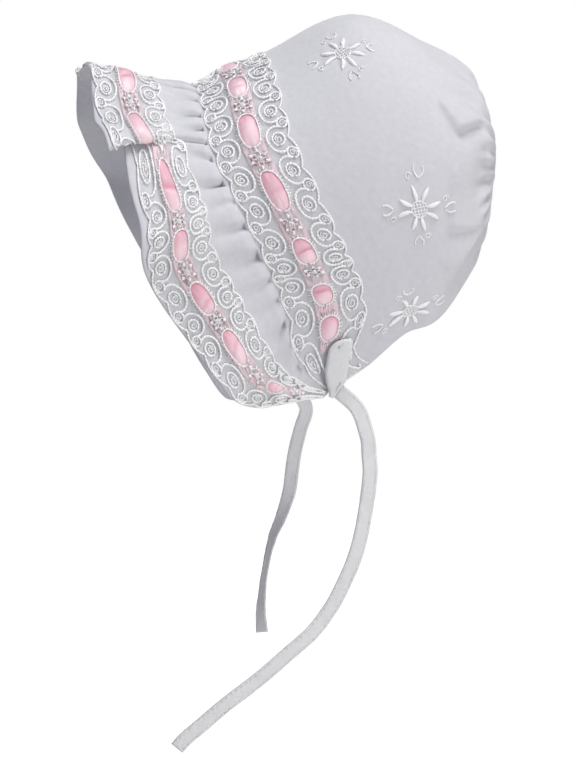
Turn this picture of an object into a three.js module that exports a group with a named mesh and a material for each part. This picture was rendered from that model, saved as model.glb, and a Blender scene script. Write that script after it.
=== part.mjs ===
// Baby bonnet in white cloth: a rounded crown, a small horseshoe back panel, a fluted brim,
// two bands of beading lace threaded with satin ribbon, and two flat ties on sewn tabs.
// The face looks to -Y and the wearer's left is +X. The origin is the place inside the top
// of the crown where the head touches it. All sizes are in millimetres.
import * as THREE from "three";

// Crown, measured from the head seat
const CROWN_HALF_WIDTH = 60;
const FRONT_REACH = 72;
const BACK_REACH = 64;
const CORNER_DROP = 171;
const CLOTH = 1.2;
const BACK_PUFF = 4;
const BACK_GATHER = 0.9;
const BACK_GATHERS = 26;
const BACK_GATHERS_FROM = 0.72;
const PANEL_BULGE = 3;
const PANEL_TOP_AROUND = 0.05;

// Brim
const BRIM_DEPTH = 52;
const SEAM_GATHER = 1.3;
const SEAM_GATHERS = 36;
const SEAM_GATHERS_FULL = 0.14;
const SEAM_GATHERS_END = 0.55;
const SEAM_GATHERS_FADE = 0.12;
const FLUTES_OPEN = 1.3;
const BRIM_HEM = 1.2;

// Lace bands and the satin ribbon under them
const LACE_WIDTH = 36;
const LACE_THICKNESS = 1;
const RIBBON_WIDTH = 8;
const RIBBON_THICKNESS = 0.6;
const SCALLOP = 2.2;
const LACE_CORNER_NARROWING = 0.42;
const LACE_SHARE_OF_BRIM = 0.64;
const NARROWING_FROM = 0.86;
const WINDOW_HALF = 0.25;
const WINDOW_CORNER = 0.22;
const COLUMNS_PER_REPEAT = 6;

// Ties and the doubled tabs that sew them on
const TIE_WIDTH = 6.6;
const TIE_THICKNESS = 1.1;
const TAB_WIDTH = 10;
const TAB_LENGTH = 22;
const TAB_THICKNESS = 2;
const TAB_FOOT_INSET = 2.2;
const TAB_FOOT_SLOPE = 0.2;
const TAB_SLANT = 18;
const TAB_HEAD_AROUND = 0.915;
const TAB_ON_LACE = 0.96;
const TAB_CURVE = 1.6;
const TAB_EDGE_STEP = 0.02;
const TIE_TWIST = 1.3;
const TAB_OUTLINE = [
  { at: 0.00, width: 0.45 },
  { at: 0.08, width: 0.85 },
  { at: 0.22, width: 1.00 },
  { at: 0.45, width: 1.00 },
  { at: 0.70, width: 0.98 },
  { at: 0.86, width: 0.86 },
  { at: 1.00, width: 0.72 },
];

// Free space between pieces that are sewn or laid together
const GAP = 0.35;

// Crown sections from the front seam to the back panel. Reaches are shares of FRONT_REACH
// forward and BACK_REACH back, drops are shares of CORNER_DROP, widths of CROWN_HALF_WIDTH.
const CROWN_SECTIONS = [
  {
    at: 0.00, topReach: -1.00, topDrop: 0.195, width: 0.955, wideDrop: 0.580,
    lowWidth: 0.79, lowReach: -0.225, lowDrop: 1.000, lean: 1.50,
  },
  {
    at: 0.25, topReach: -0.52, topDrop: 0.098, width: 0.990, wideDrop: 0.555,
    lowWidth: 0.84, lowReach: 0.00, lowDrop: 0.938, lean: 1.40,
  },
  {
    at: 0.50, topReach: 0.00, topDrop: -0.007, width: 1.010, wideDrop: 0.515,
    lowWidth: 0.86, lowReach: 0.25, lowDrop: 0.858, lean: 1.25,
  },
  {
    at: 0.75, topReach: 0.53, topDrop: 0.056, width: 0.965, wideDrop: 0.480,
    lowWidth: 0.80, lowReach: 0.52, lowDrop: 0.808, lean: 1.10,
  },
  {
    at: 0.90, topReach: 0.90, topDrop: 0.130, width: 0.800, wideDrop: 0.450,
    lowWidth: 0.65, lowReach: 0.80, lowDrop: 0.680, lean: 1.20,
  },
  {
    at: 1.00, topReach: 1.00, topDrop: 0.262, width: 0.520, wideDrop: 0.425,
    lowWidth: 0.43, lowReach: 0.93, lowDrop: 0.570, lean: 2.00,
  },
];
const WIDEST_AROUND = 0.6;

// How far back the front seam has leaned at a share of its drop: its foot kicks back
const SEAM_LEAN = [
  { at: 0.00, back: 0.00 },
  { at: 0.25, back: 0.05 },
  { at: 0.42, back: 0.235 },
  { at: 0.60, back: 0.45 },
  { at: 0.75, back: 0.61 },
  { at: 0.87, back: 0.69 },
  { at: 0.95, back: 0.81 },
  { at: 1.00, back: 1.00 },
];

// Dents and puffs of the crown's back. Positions are shares around one half (the wearer's
// left is positive) and shares along the crown, heights are shares of BACK_PUFF.
const CROWN_DENTS = [
  { around: 0.34, along: 0.86, height: -0.95, spanAround: 0.05, spanAlong: 0.10 },
  { around: 0.43, along: 0.89, height: 0.80, spanAround: 0.06, spanAlong: 0.07 },
  { around: 0.62, along: 0.90, height: -0.80, spanAround: 0.10, spanAlong: 0.06 },
  { around: 0.86, along: 0.84, height: 0.60, spanAround: 0.08, spanAlong: 0.08 },
  { around: 0.99, along: 0.66, height: 0.60, spanAround: 0.06, spanAlong: 0.10 },
  { around: -0.30, along: 0.88, height: 0.70, spanAround: 0.07, spanAlong: 0.08 },
  { around: -0.45, along: 0.87, height: -0.80, spanAround: 0.06, spanAlong: 0.09 },
  { around: -0.68, along: 0.90, height: -0.60, spanAround: 0.09, spanAlong: 0.07 },
  { around: -0.90, along: 0.80, height: 0.60, spanAround: 0.09, spanAlong: 0.08 },
];

// Free edge of the brim before it is fluted, as shares of BRIM_DEPTH from the front seam
const BRIM_EDGE = [
  { at: -1.00, forward: 0.05, flare: 0.00, down: 0.06 },
  { at: -0.94, forward: 0.10, flare: 0.02, down: 0.29 },
  { at: -0.87, forward: 0.24, flare: 0.06, down: 0.50 },
  { at: -0.80, forward: 0.32, flare: 0.12, down: 0.50 },
  { at: -0.70, forward: 0.46, flare: 0.20, down: 0.32 },
  { at: -0.60, forward: 0.58, flare: 0.26, down: 0.12 },
  { at: -0.50, forward: 0.70, flare: 0.29, down: 0.04 },
  { at: -0.40, forward: 0.82, flare: 0.32, down: 0.04 },
  { at: -0.30, forward: 0.91, flare: 0.34, down: 0.06 },
  { at: -0.15, forward: 0.96, flare: 0.26, down: 0.06 },
  { at: 0.00, forward: 0.97, flare: 0.14, down: 0.00 },
  { at: 0.15, forward: 0.94, flare: 0.26, down: 0.10 },
  { at: 0.30, forward: 0.92, flare: 0.38, down: 0.30 },
  { at: 0.40, forward: 0.80, flare: 0.36, down: 0.20 },
  { at: 0.50, forward: 0.84, flare: 0.30, down: 0.34 },
  { at: 0.60, forward: 0.89, flare: 0.26, down: 0.40 },
  { at: 0.70, forward: 0.72, flare: 0.20, down: 0.57 },
  { at: 0.80, forward: 0.48, flare: 0.11, down: 0.71 },
  { at: 0.87, forward: 0.28, flare: 0.05, down: 0.58 },
  { at: 0.94, forward: 0.10, flare: 0.01, down: 0.31 },
  { at: 1.00, forward: 0.05, flare: 0.00, down: 0.06 },
];

// Flutes of the brim: height and push (forward) are shares of BRIM_DEPTH at the free edge, lean
// moves the crest sideways by a share of one half of the seam. The third and fourth make the
// fold of the wearer's left side, which hangs over its neighbour.
const FLUTES = [
  { at: 0.02, span: 0.070, height: -0.05, lean: 0.000, push: 0.000 },
  { at: 0.18, span: 0.070, height: 0.08, lean: 0.000, push: 0.000 },
  { at: 0.34, span: 0.042, height: 0.11, lean: 0.058, push: 0.110 },
  { at: 0.408, span: 0.040, height: -0.12, lean: -0.060, push: -0.150 },
  { at: 0.55, span: 0.060, height: 0.07, lean: 0.010, push: 0.000 },
  { at: 0.68, span: 0.060, height: -0.07, lean: 0.000, push: 0.000 },
  { at: 0.79, span: 0.050, height: 0.06, lean: 0.000, push: 0.000 },
  { at: 0.89, span: 0.040, height: -0.03, lean: 0.000, push: 0.000 },
  { at: -0.14, span: 0.070, height: 0.12, lean: -0.020, push: 0.000 },
  { at: -0.27, span: 0.060, height: -0.08, lean: 0.000, push: 0.000 },
  { at: -0.40, span: 0.065, height: 0.12, lean: -0.030, push: 0.000 },
  { at: -0.53, span: 0.060, height: -0.08, lean: 0.000, push: 0.000 },
  { at: -0.66, span: 0.060, height: 0.09, lean: -0.010, push: 0.000 },
  { at: -0.78, span: 0.050, height: -0.05, lean: 0.000, push: 0.000 },
  { at: -0.88, span: 0.040, height: 0.04, lean: 0.000, push: 0.000 },
];

// Where each repeat of the lace falls, as a share around one half of the bonnet
const FRONT_REPEATS = [
  { at: 0.0, around: 0 },
  { at: 0.5, around: 0.085 },
  { at: 1.5, around: 0.235 },
  { at: 2.5, around: 0.387 },
  { at: 3.5, around: 0.530 },
  { at: 4.5, around: 0.680 },
  { at: 5.5, around: 0.800 },
  { at: 6.5, around: 1 },
];
const BRIM_REPEATS = [
  { at: 0, around: 0 },
  { at: 1, around: 0.190 },
  { at: 2, around: 0.330 },
  { at: 3, around: 0.480 },
  { at: 4, around: 0.590 },
  { at: 5, around: 0.685 },
  { at: 6, around: 0.770 },
  { at: 7, around: 0.870 },
  { at: 8, around: 1 },
];

// Routes of the two ties, from the foot of the tab to the free end
const LEFT_TIE_ROUTE = [
  [52.0, -6.0, -178.0], [52.5, -3.5, -182.5], [53.0, -2.0, -187.5], [53.0, -0.5, -193.0],
  [52.5, 0.0, -199.5], [52.5, 0.5, -206.0], [52.5, 0.0, -213.0], [52.0, -1.5, -224.0],
  [52.0, -3.5, -234.5], [51.5, -6.5, -245.0], [51.0, -11.0, -255.5], [50.0, -16.5, -266.0],
  [49.5, -24.5, -276.5], [49.0, -36.0, -286.5], [48.5, -48.5, -297.0], [48.0, -62.0, -307.0],
  [47.0, -74.0, -317.0], [46.5, -80.5, -322.5], [46.0, -83.5, -326.0],
];
const RIGHT_TIE_ROUTE = [
  [-52.5, -8.5, -180.5], [-53.0, -11.0, -189.5], [-52.5, -14.0, -201.0], [-52.5, -15.5, -211.0],
  [-52.0, -16.5, -218.5], [-52.0, -18.0, -224.5], [-51.5, -20.0, -230.0], [-51.0, -22.5, -236.0],
  [-51.0, -25.0, -241.5], [-50.5, -28.0, -253.0], [-50.0, -30.0, -264.5], [-49.5, -31.0, -276.0],
  [-49.5, -31.0, -281.5], [-49.0, -30.5, -287.5],
];

// Smooth curve through one column of a table
function smooth(table, column, at) {
  const last = table.length - 1;
  let index = 0;
  while (index < last - 1 && at > table[index + 1].at) {
    index += 1;
  }
  const slopeAt = (row) => {
    const before = table[Math.max(row - 1, 0)];
    const after = table[Math.min(row + 1, last)];
    return (after[column] - before[column]) / (after.at - before.at);
  };
  const from = table[index];
  const to = table[index + 1];
  const span = to.at - from.at;
  const s = THREE.MathUtils.clamp((at - from.at) / span, 0, 1);
  const rise = s * s * (3 - 2 * s);
  const startPull = s * (1 - s) * (1 - s) * span * slopeAt(index);
  const endPull = s * s * (s - 1) * span * slopeAt(index + 1);
  return from[column] + (to[column] - from[column]) * rise + startPull + endPull;
}

// Rounded bump of height 1 that has faded at about twice its span
function bump(distance, span) {
  return Math.exp(-(distance * distance) / (span * span));
}

function reachToY(share) {
  return share < 0 ? share * FRONT_REACH : share * BACK_REACH;
}

// Crown cloth without its dents: around runs from -1 (right corner) over the top to 1
function plainCrown(around, along) {
  const section = (column) => smooth(CROWN_SECTIONS, column, along);
  const share = Math.abs(around);
  const side = around < 0 ? -1 : 1;
  const topZ = -section("topDrop") * CORNER_DROP;
  const wideZ = -section("wideDrop") * CORNER_DROP;
  const lowZ = -section("lowDrop") * CORNER_DROP;
  const width = section("width") * CROWN_HALF_WIDTH;
  const lowWidth = section("lowWidth") * CROWN_HALF_WIDTH;
  let x = 0;
  let z = 0;
  if (share < WIDEST_AROUND) {
    const angle = (share / WIDEST_AROUND) * (Math.PI / 2);
    x = width * Math.sin(angle);
    z = wideZ + (topZ - wideZ) * Math.cos(angle);
  } else {
    const below = (share - WIDEST_AROUND) / (1 - WIDEST_AROUND);
    x = width - (width - lowWidth) * below * below;
    z = wideZ + (lowZ - wideZ) * below;
  }
  const topY = reachToY(section("topReach"));
  const lowY = reachToY(section("lowReach"));
  const fallen = Math.max((topZ - z) / (topZ - lowZ), 0);
  const likeSeam = 1 - THREE.MathUtils.smoothstep(along, 0, 0.5);
  const leaned = THREE.MathUtils.lerp(
    Math.pow(fallen, section("lean")),
    smooth(SEAM_LEAN, "back", fallen),
    likeSeam,
  );
  const y = topY + (lowY - topY) * leaned;
  return new THREE.Vector3(side * x, y, z);
}

// Outward normal of a surface given by two shares
function normalOf(surface, a, b, facing) {
  const step = 0.004;
  const alongA = surface(a + step, b).sub(surface(a - step, b));
  const alongB = surface(a, b + step).sub(surface(a, b - step));
  return alongA.cross(alongB).normalize().multiplyScalar(facing);
}

// Crown cloth with gathers at the back seam, dents and puffs
function crownPoint(around, along) {
  const inside = THREE.MathUtils.clamp(along, 0, 1);
  const point = plainCrown(around, inside);
  const nearSeam = Math.max((inside - BACK_GATHERS_FROM) / (1 - BACK_GATHERS_FROM), 0);
  const gatherShare = (27 / 4) * nearSeam * nearSeam * (1 - nearSeam);
  let lift = BACK_GATHER * gatherShare * Math.cos(Math.PI * BACK_GATHERS * around);
  for (const dent of CROWN_DENTS) {
    const spreadAround = bump(around - dent.around, dent.spanAround);
    const spreadAlong = bump(inside - dent.along, dent.spanAlong);
    lift += BACK_PUFF * dent.height * spreadAround * spreadAlong;
  }
  const a = THREE.MathUtils.clamp(around, -0.99, 0.99);
  const b = THREE.MathUtils.clamp(inside, 0.01, 0.99);
  return point.addScaledVector(normalOf(plainCrown, a, b, 1), lift);
}

function crownNormal(around, along) {
  const a = THREE.MathUtils.clamp(around, -0.995, 0.995);
  const b = THREE.MathUtils.clamp(along, 0.005, 0.995);
  return normalOf(crownPoint, a, b, 1);
}

// Share along the crown at a distance from the front seam, measured over the cloth
function alongAtDistance(around, distance) {
  const steps = 40;
  let walked = 0;
  let before = plainCrown(around, 0);
  for (let i = 1; i <= steps; i += 1) {
    const here = plainCrown(around, i / steps);
    const stride = here.distanceTo(before);
    if (walked + stride >= distance) {
      return (i - 1 + (distance - walked) / stride) / steps;
    }
    walked += stride;
    before = here;
  }
  return 1;
}

// Straight line of the brim from the front seam to the free edge
function plainBrim(around, out) {
  const share = THREE.MathUtils.clamp(around, -1, 1);
  const seam = plainCrown(share, 0);
  const arch = normalOf(plainCrown, THREE.MathUtils.clamp(share, -0.99, 0.99), 0.01, 1);
  arch.y = 0;
  arch.normalize();
  const edge = (column) => smooth(BRIM_EDGE, column, share) * BRIM_DEPTH;
  const toEdge = arch.multiplyScalar(edge("flare"));
  toEdge.y -= edge("forward");
  toEdge.z -= edge("down");
  return seam.addScaledVector(toEdge, out);
}

// Brim cloth with seam gathers and flutes
function brimPoint(around, out) {
  const opened = Math.pow(Math.max(out, 0), FLUTES_OPEN);
  let shifted = around;
  let height = 0;
  let push = 0;
  for (const flute of FLUTES) {
    const spread = bump(around - flute.at, flute.span) * opened;
    height += flute.height * BRIM_DEPTH * spread;
    push += flute.push * BRIM_DEPTH * spread;
    shifted += flute.lean * spread;
  }
  const point = plainBrim(shifted, out);
  point.y -= push;
  const gatherShare = Math.min(out / SEAM_GATHERS_FULL, 1) * Math.max(1 - out / SEAM_GATHERS_END, 0);
  const endFade = THREE.MathUtils.clamp((1 - Math.abs(around)) / SEAM_GATHERS_FADE, 0, 1);
  height += SEAM_GATHER * gatherShare * endFade * Math.cos(Math.PI * SEAM_GATHERS * around);
  const a = THREE.MathUtils.clamp(shifted, -0.99, 0.99);
  return point.addScaledVector(normalOf(plainBrim, a, Math.max(out, 0.05), -1), height);
}

function brimNormal(around, out) {
  const a = THREE.MathUtils.clamp(around, -0.995, 0.995);
  return normalOf(brimPoint, a, THREE.MathUtils.clamp(out, 0.02, 1.2), -1);
}

// Length of the brim's straight line from the seam to the free edge
function brimReach(around) {
  return plainBrim(around, 1).distanceTo(plainBrim(around, 0));
}

// Closed solid between an outer and an inner grid of points, with walls at its borders and
// round any cells left out
function shell(columns, rows, outerAt, innerAt, isHole = () => false) {
  const positions = [];
  const push = (point) => positions.push(point.x, point.y, point.z);
  for (const pointAt of [outerAt, innerAt]) {
    for (let i = 0; i < columns; i += 1) {
      for (let j = 0; j < rows; j += 1) {
        push(pointAt(i, j));
      }
    }
  }
  const innerStart = columns * rows;
  const outer = (i, j) => i * rows + j;
  const inner = (i, j) => innerStart + i * rows + j;
  const isCloth = (i, j) => i >= 0 && j >= 0 && i < columns - 1 && j < rows - 1 && !isHole(i, j);
  const index = [];
  const wall = (fromI, fromJ, toI, toJ) => {
    index.push(outer(fromI, fromJ), inner(fromI, fromJ), inner(toI, toJ));
    index.push(outer(fromI, fromJ), inner(toI, toJ), outer(toI, toJ));
  };
  for (let i = 0; i < columns - 1; i += 1) {
    for (let j = 0; j < rows - 1; j += 1) {
      if (!isCloth(i, j)) {
        continue;
      }
      index.push(outer(i, j), outer(i + 1, j), outer(i + 1, j + 1));
      index.push(outer(i, j), outer(i + 1, j + 1), outer(i, j + 1));
      index.push(inner(i, j), inner(i + 1, j + 1), inner(i + 1, j));
      index.push(inner(i, j), inner(i, j + 1), inner(i + 1, j + 1));
      if (!isCloth(i, j - 1)) {
        wall(i, j, i + 1, j);
      }
      if (!isCloth(i + 1, j)) {
        wall(i + 1, j, i + 1, j + 1);
      }
      if (!isCloth(i, j + 1)) {
        wall(i + 1, j + 1, i, j + 1);
      }
      if (!isCloth(i - 1, j)) {
        wall(i, j + 1, i, j);
      }
    }
  }
  const used = new Map();
  const kept = [];
  const compact = index.map((vertex) => {
    if (!used.has(vertex)) {
      used.set(vertex, kept.length / 3);
      kept.push(...positions.slice(vertex * 3, vertex * 3 + 3));
    }
    return used.get(vertex);
  });
  const geometry = new THREE.BufferGeometry();
  geometry.setAttribute("position", new THREE.Float32BufferAttribute(kept, 3));
  geometry.setIndex(signedVolume(kept, compact) < 0 ? turned(compact) : compact);
  geometry.computeVertexNormals();
  return geometry;
}

function signedVolume(positions, index) {
  const corner = (vertex) => new THREE.Vector3().fromArray(positions, vertex * 3);
  let volume = 0;
  for (let i = 0; i < index.length; i += 3) {
    volume += corner(index[i]).dot(corner(index[i + 1]).cross(corner(index[i + 2])));
  }
  return volume / 6;
}

function turned(index) {
  const flipped = [];
  for (let i = 0; i < index.length; i += 3) {
    flipped.push(index[i], index[i + 2], index[i + 1]);
  }
  return flipped;
}

// Columns of a lace band, in repeats from one end to the other. The middle of the table's
// repeats is where the ribbon's windows open, each half a repeat long.
function laceColumns(repeats) {
  const halfCount = repeats[repeats.length - 1].at;
  const step = 1 / COLUMNS_PER_REPEAT;
  const columns = [-halfCount];
  for (let at = -halfCount + step / 2; at < halfCount; at += step) {
    columns.push(at);
  }
  columns.push(halfCount);
  return columns.map((at) => ({
    at,
    around: Math.sign(at) * smooth(repeats, "around", Math.abs(at)),
    fromWindow: at - halfCount - Math.round(at - halfCount),
    hasWindow: Math.abs(at) < halfCount - 0.5,
  }));
}

// True for the cells of the windows that the ribbon shows through
function isWindowCell(columns, i) {
  const reach = Math.max(Math.abs(columns[i].fromWindow), Math.abs(columns[i + 1].fromWindow));
  return reach < WINDOW_HALF + 0.01 && columns[i].hasWindow && columns[i + 1].hasWindow;
}

// Height of the scalloped edge, two scallops to each repeat
function scallopAt(at) {
  return SCALLOP * Math.sqrt(Math.abs(Math.sin(Math.PI * (2 * at - 0.5))));
}

// Rows of a lace band as distances across it: edge, window, window, edge
const LACE_ROWS = [
  0,
  (LACE_WIDTH - RIBBON_WIDTH) / 2,
  (LACE_WIDTH + RIBBON_WIDTH) / 2,
  LACE_WIDTH,
];
const LACE_LIFT_FLAT = GAP;
const LACE_LIFT_RIBBON = GAP + RIBBON_THICKNESS + GAP;

// Lace band over a cloth surface. place(column, distance) gives the surface shares.
function laceBand(columns, place, pointAt, normalAt) {
  const isCorner = (i, j) => {
    const offset = Math.abs(columns[i].fromWindow);
    return Math.abs(offset - WINDOW_HALF) < 0.01 && columns[i].hasWindow && (j === 1 || j === 2);
  };
  const surfaceAt = (i, j, height) => {
    const column = columns[i];
    let distance = LACE_ROWS[j];
    if (j === 3) {
      distance += scallopAt(column.at) - SCALLOP;
    }
    if (isCorner(i, j)) {
      distance += (j === 1 ? 1 : -1) * RIBBON_WIDTH * WINDOW_CORNER;
    }
    const [a, b] = place(column, distance);
    const lift = (j === 1 || j === 2 ? LACE_LIFT_RIBBON : LACE_LIFT_FLAT) + height;
    return pointAt(a, b).addScaledVector(normalAt(a, b), lift);
  };
  return shell(
    columns.length,
    LACE_ROWS.length,
    (i, j) => surfaceAt(i, j, LACE_THICKNESS),
    (i, j) => surfaceAt(i, j, 0),
    (i, j) => j === 1 && isWindowCell(columns, i),
  );
}

function ribbonBand(columns, place, pointAt, normalAt) {
  const surfaceAt = (i, j, height) => {
    const [a, b] = place(columns[i], LACE_ROWS[j + 1]);
    return pointAt(a, b).addScaledVector(normalAt(a, b), height);
  };
  return shell(
    columns.length,
    2,
    (i, j) => surfaceAt(i, j, GAP + RIBBON_THICKNESS),
    (i, j) => surfaceAt(i, j, GAP),
  );
}

const FRONT_COLUMNS = laceColumns(FRONT_REPEATS);
const BRIM_COLUMNS = laceColumns(BRIM_REPEATS);

// The front lace keeps its width until it nears a corner, where it follows the neck edge
function onCrown(column, distance) {
  const nearCorner = THREE.MathUtils.smoothstep(Math.abs(column.around), NARROWING_FROM, 1);
  const width = distance * (1 - LACE_CORNER_NARROWING * nearCorner);
  return [column.around, alongAtDistance(column.around, width)];
}

// The brim's lace ends a hem's width short of the free edge, and narrows with the brim
function onBrim(column, distance) {
  const reach = brimReach(column.around);
  const fit = Math.min(1, (reach * LACE_SHARE_OF_BRIM) / LACE_WIDTH);
  const fromSeam = reach - (BRIM_HEM + LACE_WIDTH - distance) * fit;
  return [column.around, fromSeam / reach];
}

// Crown
function crownGeometry() {
  const backRows = 7;
  const rowsAt = (column) => {
    const rows = LACE_ROWS.map((distance) => onCrown(column, distance)[1]);
    const start = rows[rows.length - 1];
    for (let i = 1; i <= backRows; i += 1) {
      const share = i / backRows;
      rows.push(start + (1 - start) * (share + 0.25 * share * (1 - share)));
    }
    return rows;
  };
  const rows = FRONT_COLUMNS.map(rowsAt);
  const pointAt = (i, j, depth) => {
    const around = FRONT_COLUMNS[i].around;
    const along = rows[i][j];
    return crownPoint(around, along).addScaledVector(crownNormal(around, along), -depth);
  };
  return shell(
    FRONT_COLUMNS.length,
    LACE_ROWS.length + backRows,
    (i, j) => pointAt(i, j, 0),
    (i, j) => pointAt(i, j, CLOTH),
  );
}

// Horseshoe back panel, sewn edge to edge inside the crown's back seam
function backPanelGeometry() {
  const levels = 9;
  const across = 11;
  const edgeAt = (around, depth) => {
    const inward = crownPoint(around, 1).sub(crownPoint(around, 0.985)).normalize();
    return crownPoint(around, 1)
      .addScaledVector(inward, GAP)
      .addScaledVector(crownNormal(around, 1), -depth);
  };
  const pointAt = (i, j, depth) => {
    const down = i / (levels - 1);
    const around = THREE.MathUtils.lerp(PANEL_TOP_AROUND, 1, down);
    const share = j / (across - 1);
    const point = edgeAt(-around, depth).lerp(edgeAt(around, depth), share);
    const roundness = 1 - (2 * share - 1) ** 2;
    point.y += PANEL_BULGE * roundness * Math.sin(Math.PI * THREE.MathUtils.lerp(0.12, 0.88, down));
    return point;
  };
  return shell(levels, across, (i, j) => pointAt(i, j, 0), (i, j) => pointAt(i, j, CLOTH));
}

// Brim, whose first row meets the crown edge to edge
function brimGeometry() {
  const pointAt = (i, j, depth) => {
    const column = BRIM_COLUMNS[i];
    const laceStart = onBrim(column, 0)[1];
    if (j === 0) {
      const forward = crownPoint(column.around, 0).sub(crownPoint(column.around, 0.015)).normalize();
      return crownPoint(column.around, 0)
        .addScaledVector(forward, GAP)
        .addScaledVector(crownNormal(column.around, 0), -depth);
    }
    let out = 1;
    if (j < 3) {
      out = laceStart * [0, 0.3, 0.65][j];
    } else if (j < 7) {
      out = onBrim(column, LACE_ROWS[j - 3])[1];
    }
    return brimPoint(column.around, out).addScaledVector(brimNormal(column.around, out), -depth);
  };
  return shell(BRIM_COLUMNS.length, 8, (i, j) => pointAt(i, j, 0), (i, j) => pointAt(i, j, CLOTH));
}

// Crown cloth carried on straight past the front seam
function pastSeam(around, along) {
  const point = crownPoint(around, along);
  if (along < 0) {
    const onward = crownPoint(around, 0).sub(crownPoint(around, TAB_EDGE_STEP));
    point.addScaledVector(onward, -along / TAB_EDGE_STEP);
  }
  return point;
}

// Direction in which the cloth runs on past the corner
function hangingOff(around, along) {
  return pastSeam(around, along).sub(pastSeam(around * 0.97, along)).normalize();
}

// Place on a tab over the lower end of the front lace. share runs from its head to its foot,
// sideways is a share of the full width. The foot slopes, as the tie leaves it slantwise.
function tabPoint(side, share, sideways, height) {
  const down = share - TAB_FOOT_SLOPE * sideways * share * share;
  const onLace = Math.min(down / TAB_ON_LACE, 1);
  const around = side * THREE.MathUtils.lerp(TAB_HEAD_AROUND, 1, onLace);
  const distance = TAB_FOOT_INSET + TAB_SLANT * (1 - Math.pow(Math.min(down, 1), TAB_CURVE));
  const along = alongAtDistance(around, distance + sideways * TAB_WIDTH);
  const middle = alongAtDistance(around, distance);
  const laceTop = LACE_LIFT_RIBBON + LACE_THICKNESS + GAP;
  return pastSeam(around, along)
    .addScaledVector(crownNormal(around, along), laceTop + height)
    .addScaledVector(hangingOff(around, middle), Math.max(down - TAB_ON_LACE, 0) * TAB_LENGTH);
}

// Doubled tab with a rounded head
function tabGeometry(side) {
  const pointAt = (i, j, height) => {
    const row = TAB_OUTLINE[i];
    return tabPoint(side, row.at, (j - 0.5) * row.width, height);
  };
  return shell(
    TAB_OUTLINE.length,
    2,
    (i, j) => pointAt(i, j, TAB_THICKNESS),
    (i, j) => pointAt(i, j, 0),
  );
}

// Flat tie from the foot of its tab along its route. turnAt(share) turns the strip about
// its own line.
function tieGeometry(side, route, turnAt) {
  const steps = 30;
  const belowFoot = (sideways, height) =>
    tabPoint(side, 1 + GAP / TAB_LENGTH, sideways, TAB_THICKNESS / 2 + height);
  const start = belowFoot(0, 0);
  const places = route.map((place) => new THREE.Vector3(...place));
  const curve = new THREE.CatmullRomCurve3([start, ...places], false, "centripetal");
  const pointAt = (i, j, height) => {
    if (i === 0) {
      return belowFoot((side * (0.5 - j) * TIE_WIDTH) / TAB_WIDTH, height);
    }
    const share = i / steps;
    const along = curve.getTangentAt(share);
    const face = new THREE.Vector3(side, 0, 0);
    face.addScaledVector(along, -along.dot(face)).normalize();
    face.applyAxisAngle(along, turnAt(share));
    const across = new THREE.Vector3().crossVectors(along, face).normalize();
    return curve.getPointAt(share)
      .addScaledVector(across, (j - 0.5) * TIE_WIDTH)
      .addScaledVector(face, height);
  };
  return shell(
    steps + 1,
    2,
    (i, j) => pointAt(i, j, TIE_THICKNESS / 2),
    (i, j) => pointAt(i, j, -TIE_THICKNESS / 2),
  );
}

const whiteCloth = { color: 0xe9e9f1, roughness: 0.85, metalness: 0 };
const whiteLace = { color: 0xf6f6fb, roughness: 0.7, metalness: 0 };
const pinkSatin = { color: 0xf3b6c6, roughness: 0.4, metalness: 0 };
const bonnet = new THREE.Group();

function addPiece(name, geometry, finish) {
  const mesh = new THREE.Mesh(geometry, new THREE.MeshStandardMaterial(finish));
  mesh.name = name;
  bonnet.add(mesh);
}

addPiece("crown", crownGeometry(), whiteCloth);
addPiece("back_panel", backPanelGeometry(), whiteCloth);
addPiece("brim", brimGeometry(), whiteCloth);
addPiece("front_lace", laceBand(FRONT_COLUMNS, onCrown, crownPoint, crownNormal), whiteLace);
addPiece("front_ribbon", ribbonBand(FRONT_COLUMNS, onCrown, crownPoint, crownNormal), pinkSatin);
addPiece("brim_lace", laceBand(BRIM_COLUMNS, onBrim, brimPoint, brimNormal), whiteLace);
addPiece("brim_ribbon", ribbonBand(BRIM_COLUMNS, onBrim, brimPoint, brimNormal), pinkSatin);
addPiece("tie_tab_left", tabGeometry(1), whiteCloth);
addPiece("tie_tab_right", tabGeometry(-1), whiteCloth);
addPiece("tie_left", tieGeometry(1, LEFT_TIE_ROUTE, () => 0), whiteCloth);
const rightTieTurn = (share) => TIE_TWIST * bump(share - 0.75, 0.3);
addPiece("tie_right", tieGeometry(-1, RIGHT_TIE_ROUTE, rightTieTurn), whiteCloth);

export default bonnet;
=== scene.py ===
# Baby bonnet in white cloth: a gathered crown, a fluted brim, two bands of beading lace
# threaded with pink satin ribbon, star-flower embroidery and two flat ties.
# Tables and functions are in millimetres; the mesh functions turn them into metres.
import math

import bpy
import numpy as np
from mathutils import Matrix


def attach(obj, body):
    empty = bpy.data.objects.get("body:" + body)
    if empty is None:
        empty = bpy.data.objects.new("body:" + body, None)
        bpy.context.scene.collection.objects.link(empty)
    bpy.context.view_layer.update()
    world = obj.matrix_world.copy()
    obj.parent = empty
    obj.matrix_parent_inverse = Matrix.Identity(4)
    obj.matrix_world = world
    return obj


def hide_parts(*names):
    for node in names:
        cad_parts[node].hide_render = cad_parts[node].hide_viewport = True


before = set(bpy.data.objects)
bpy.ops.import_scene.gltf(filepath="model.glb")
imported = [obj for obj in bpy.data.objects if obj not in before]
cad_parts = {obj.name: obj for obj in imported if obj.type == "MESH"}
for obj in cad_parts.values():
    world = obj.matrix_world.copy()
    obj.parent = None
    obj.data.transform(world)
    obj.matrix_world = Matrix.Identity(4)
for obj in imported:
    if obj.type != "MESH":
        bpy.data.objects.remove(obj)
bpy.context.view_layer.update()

MM = 0.001
NORMAL_STEP = 0.004


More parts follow.
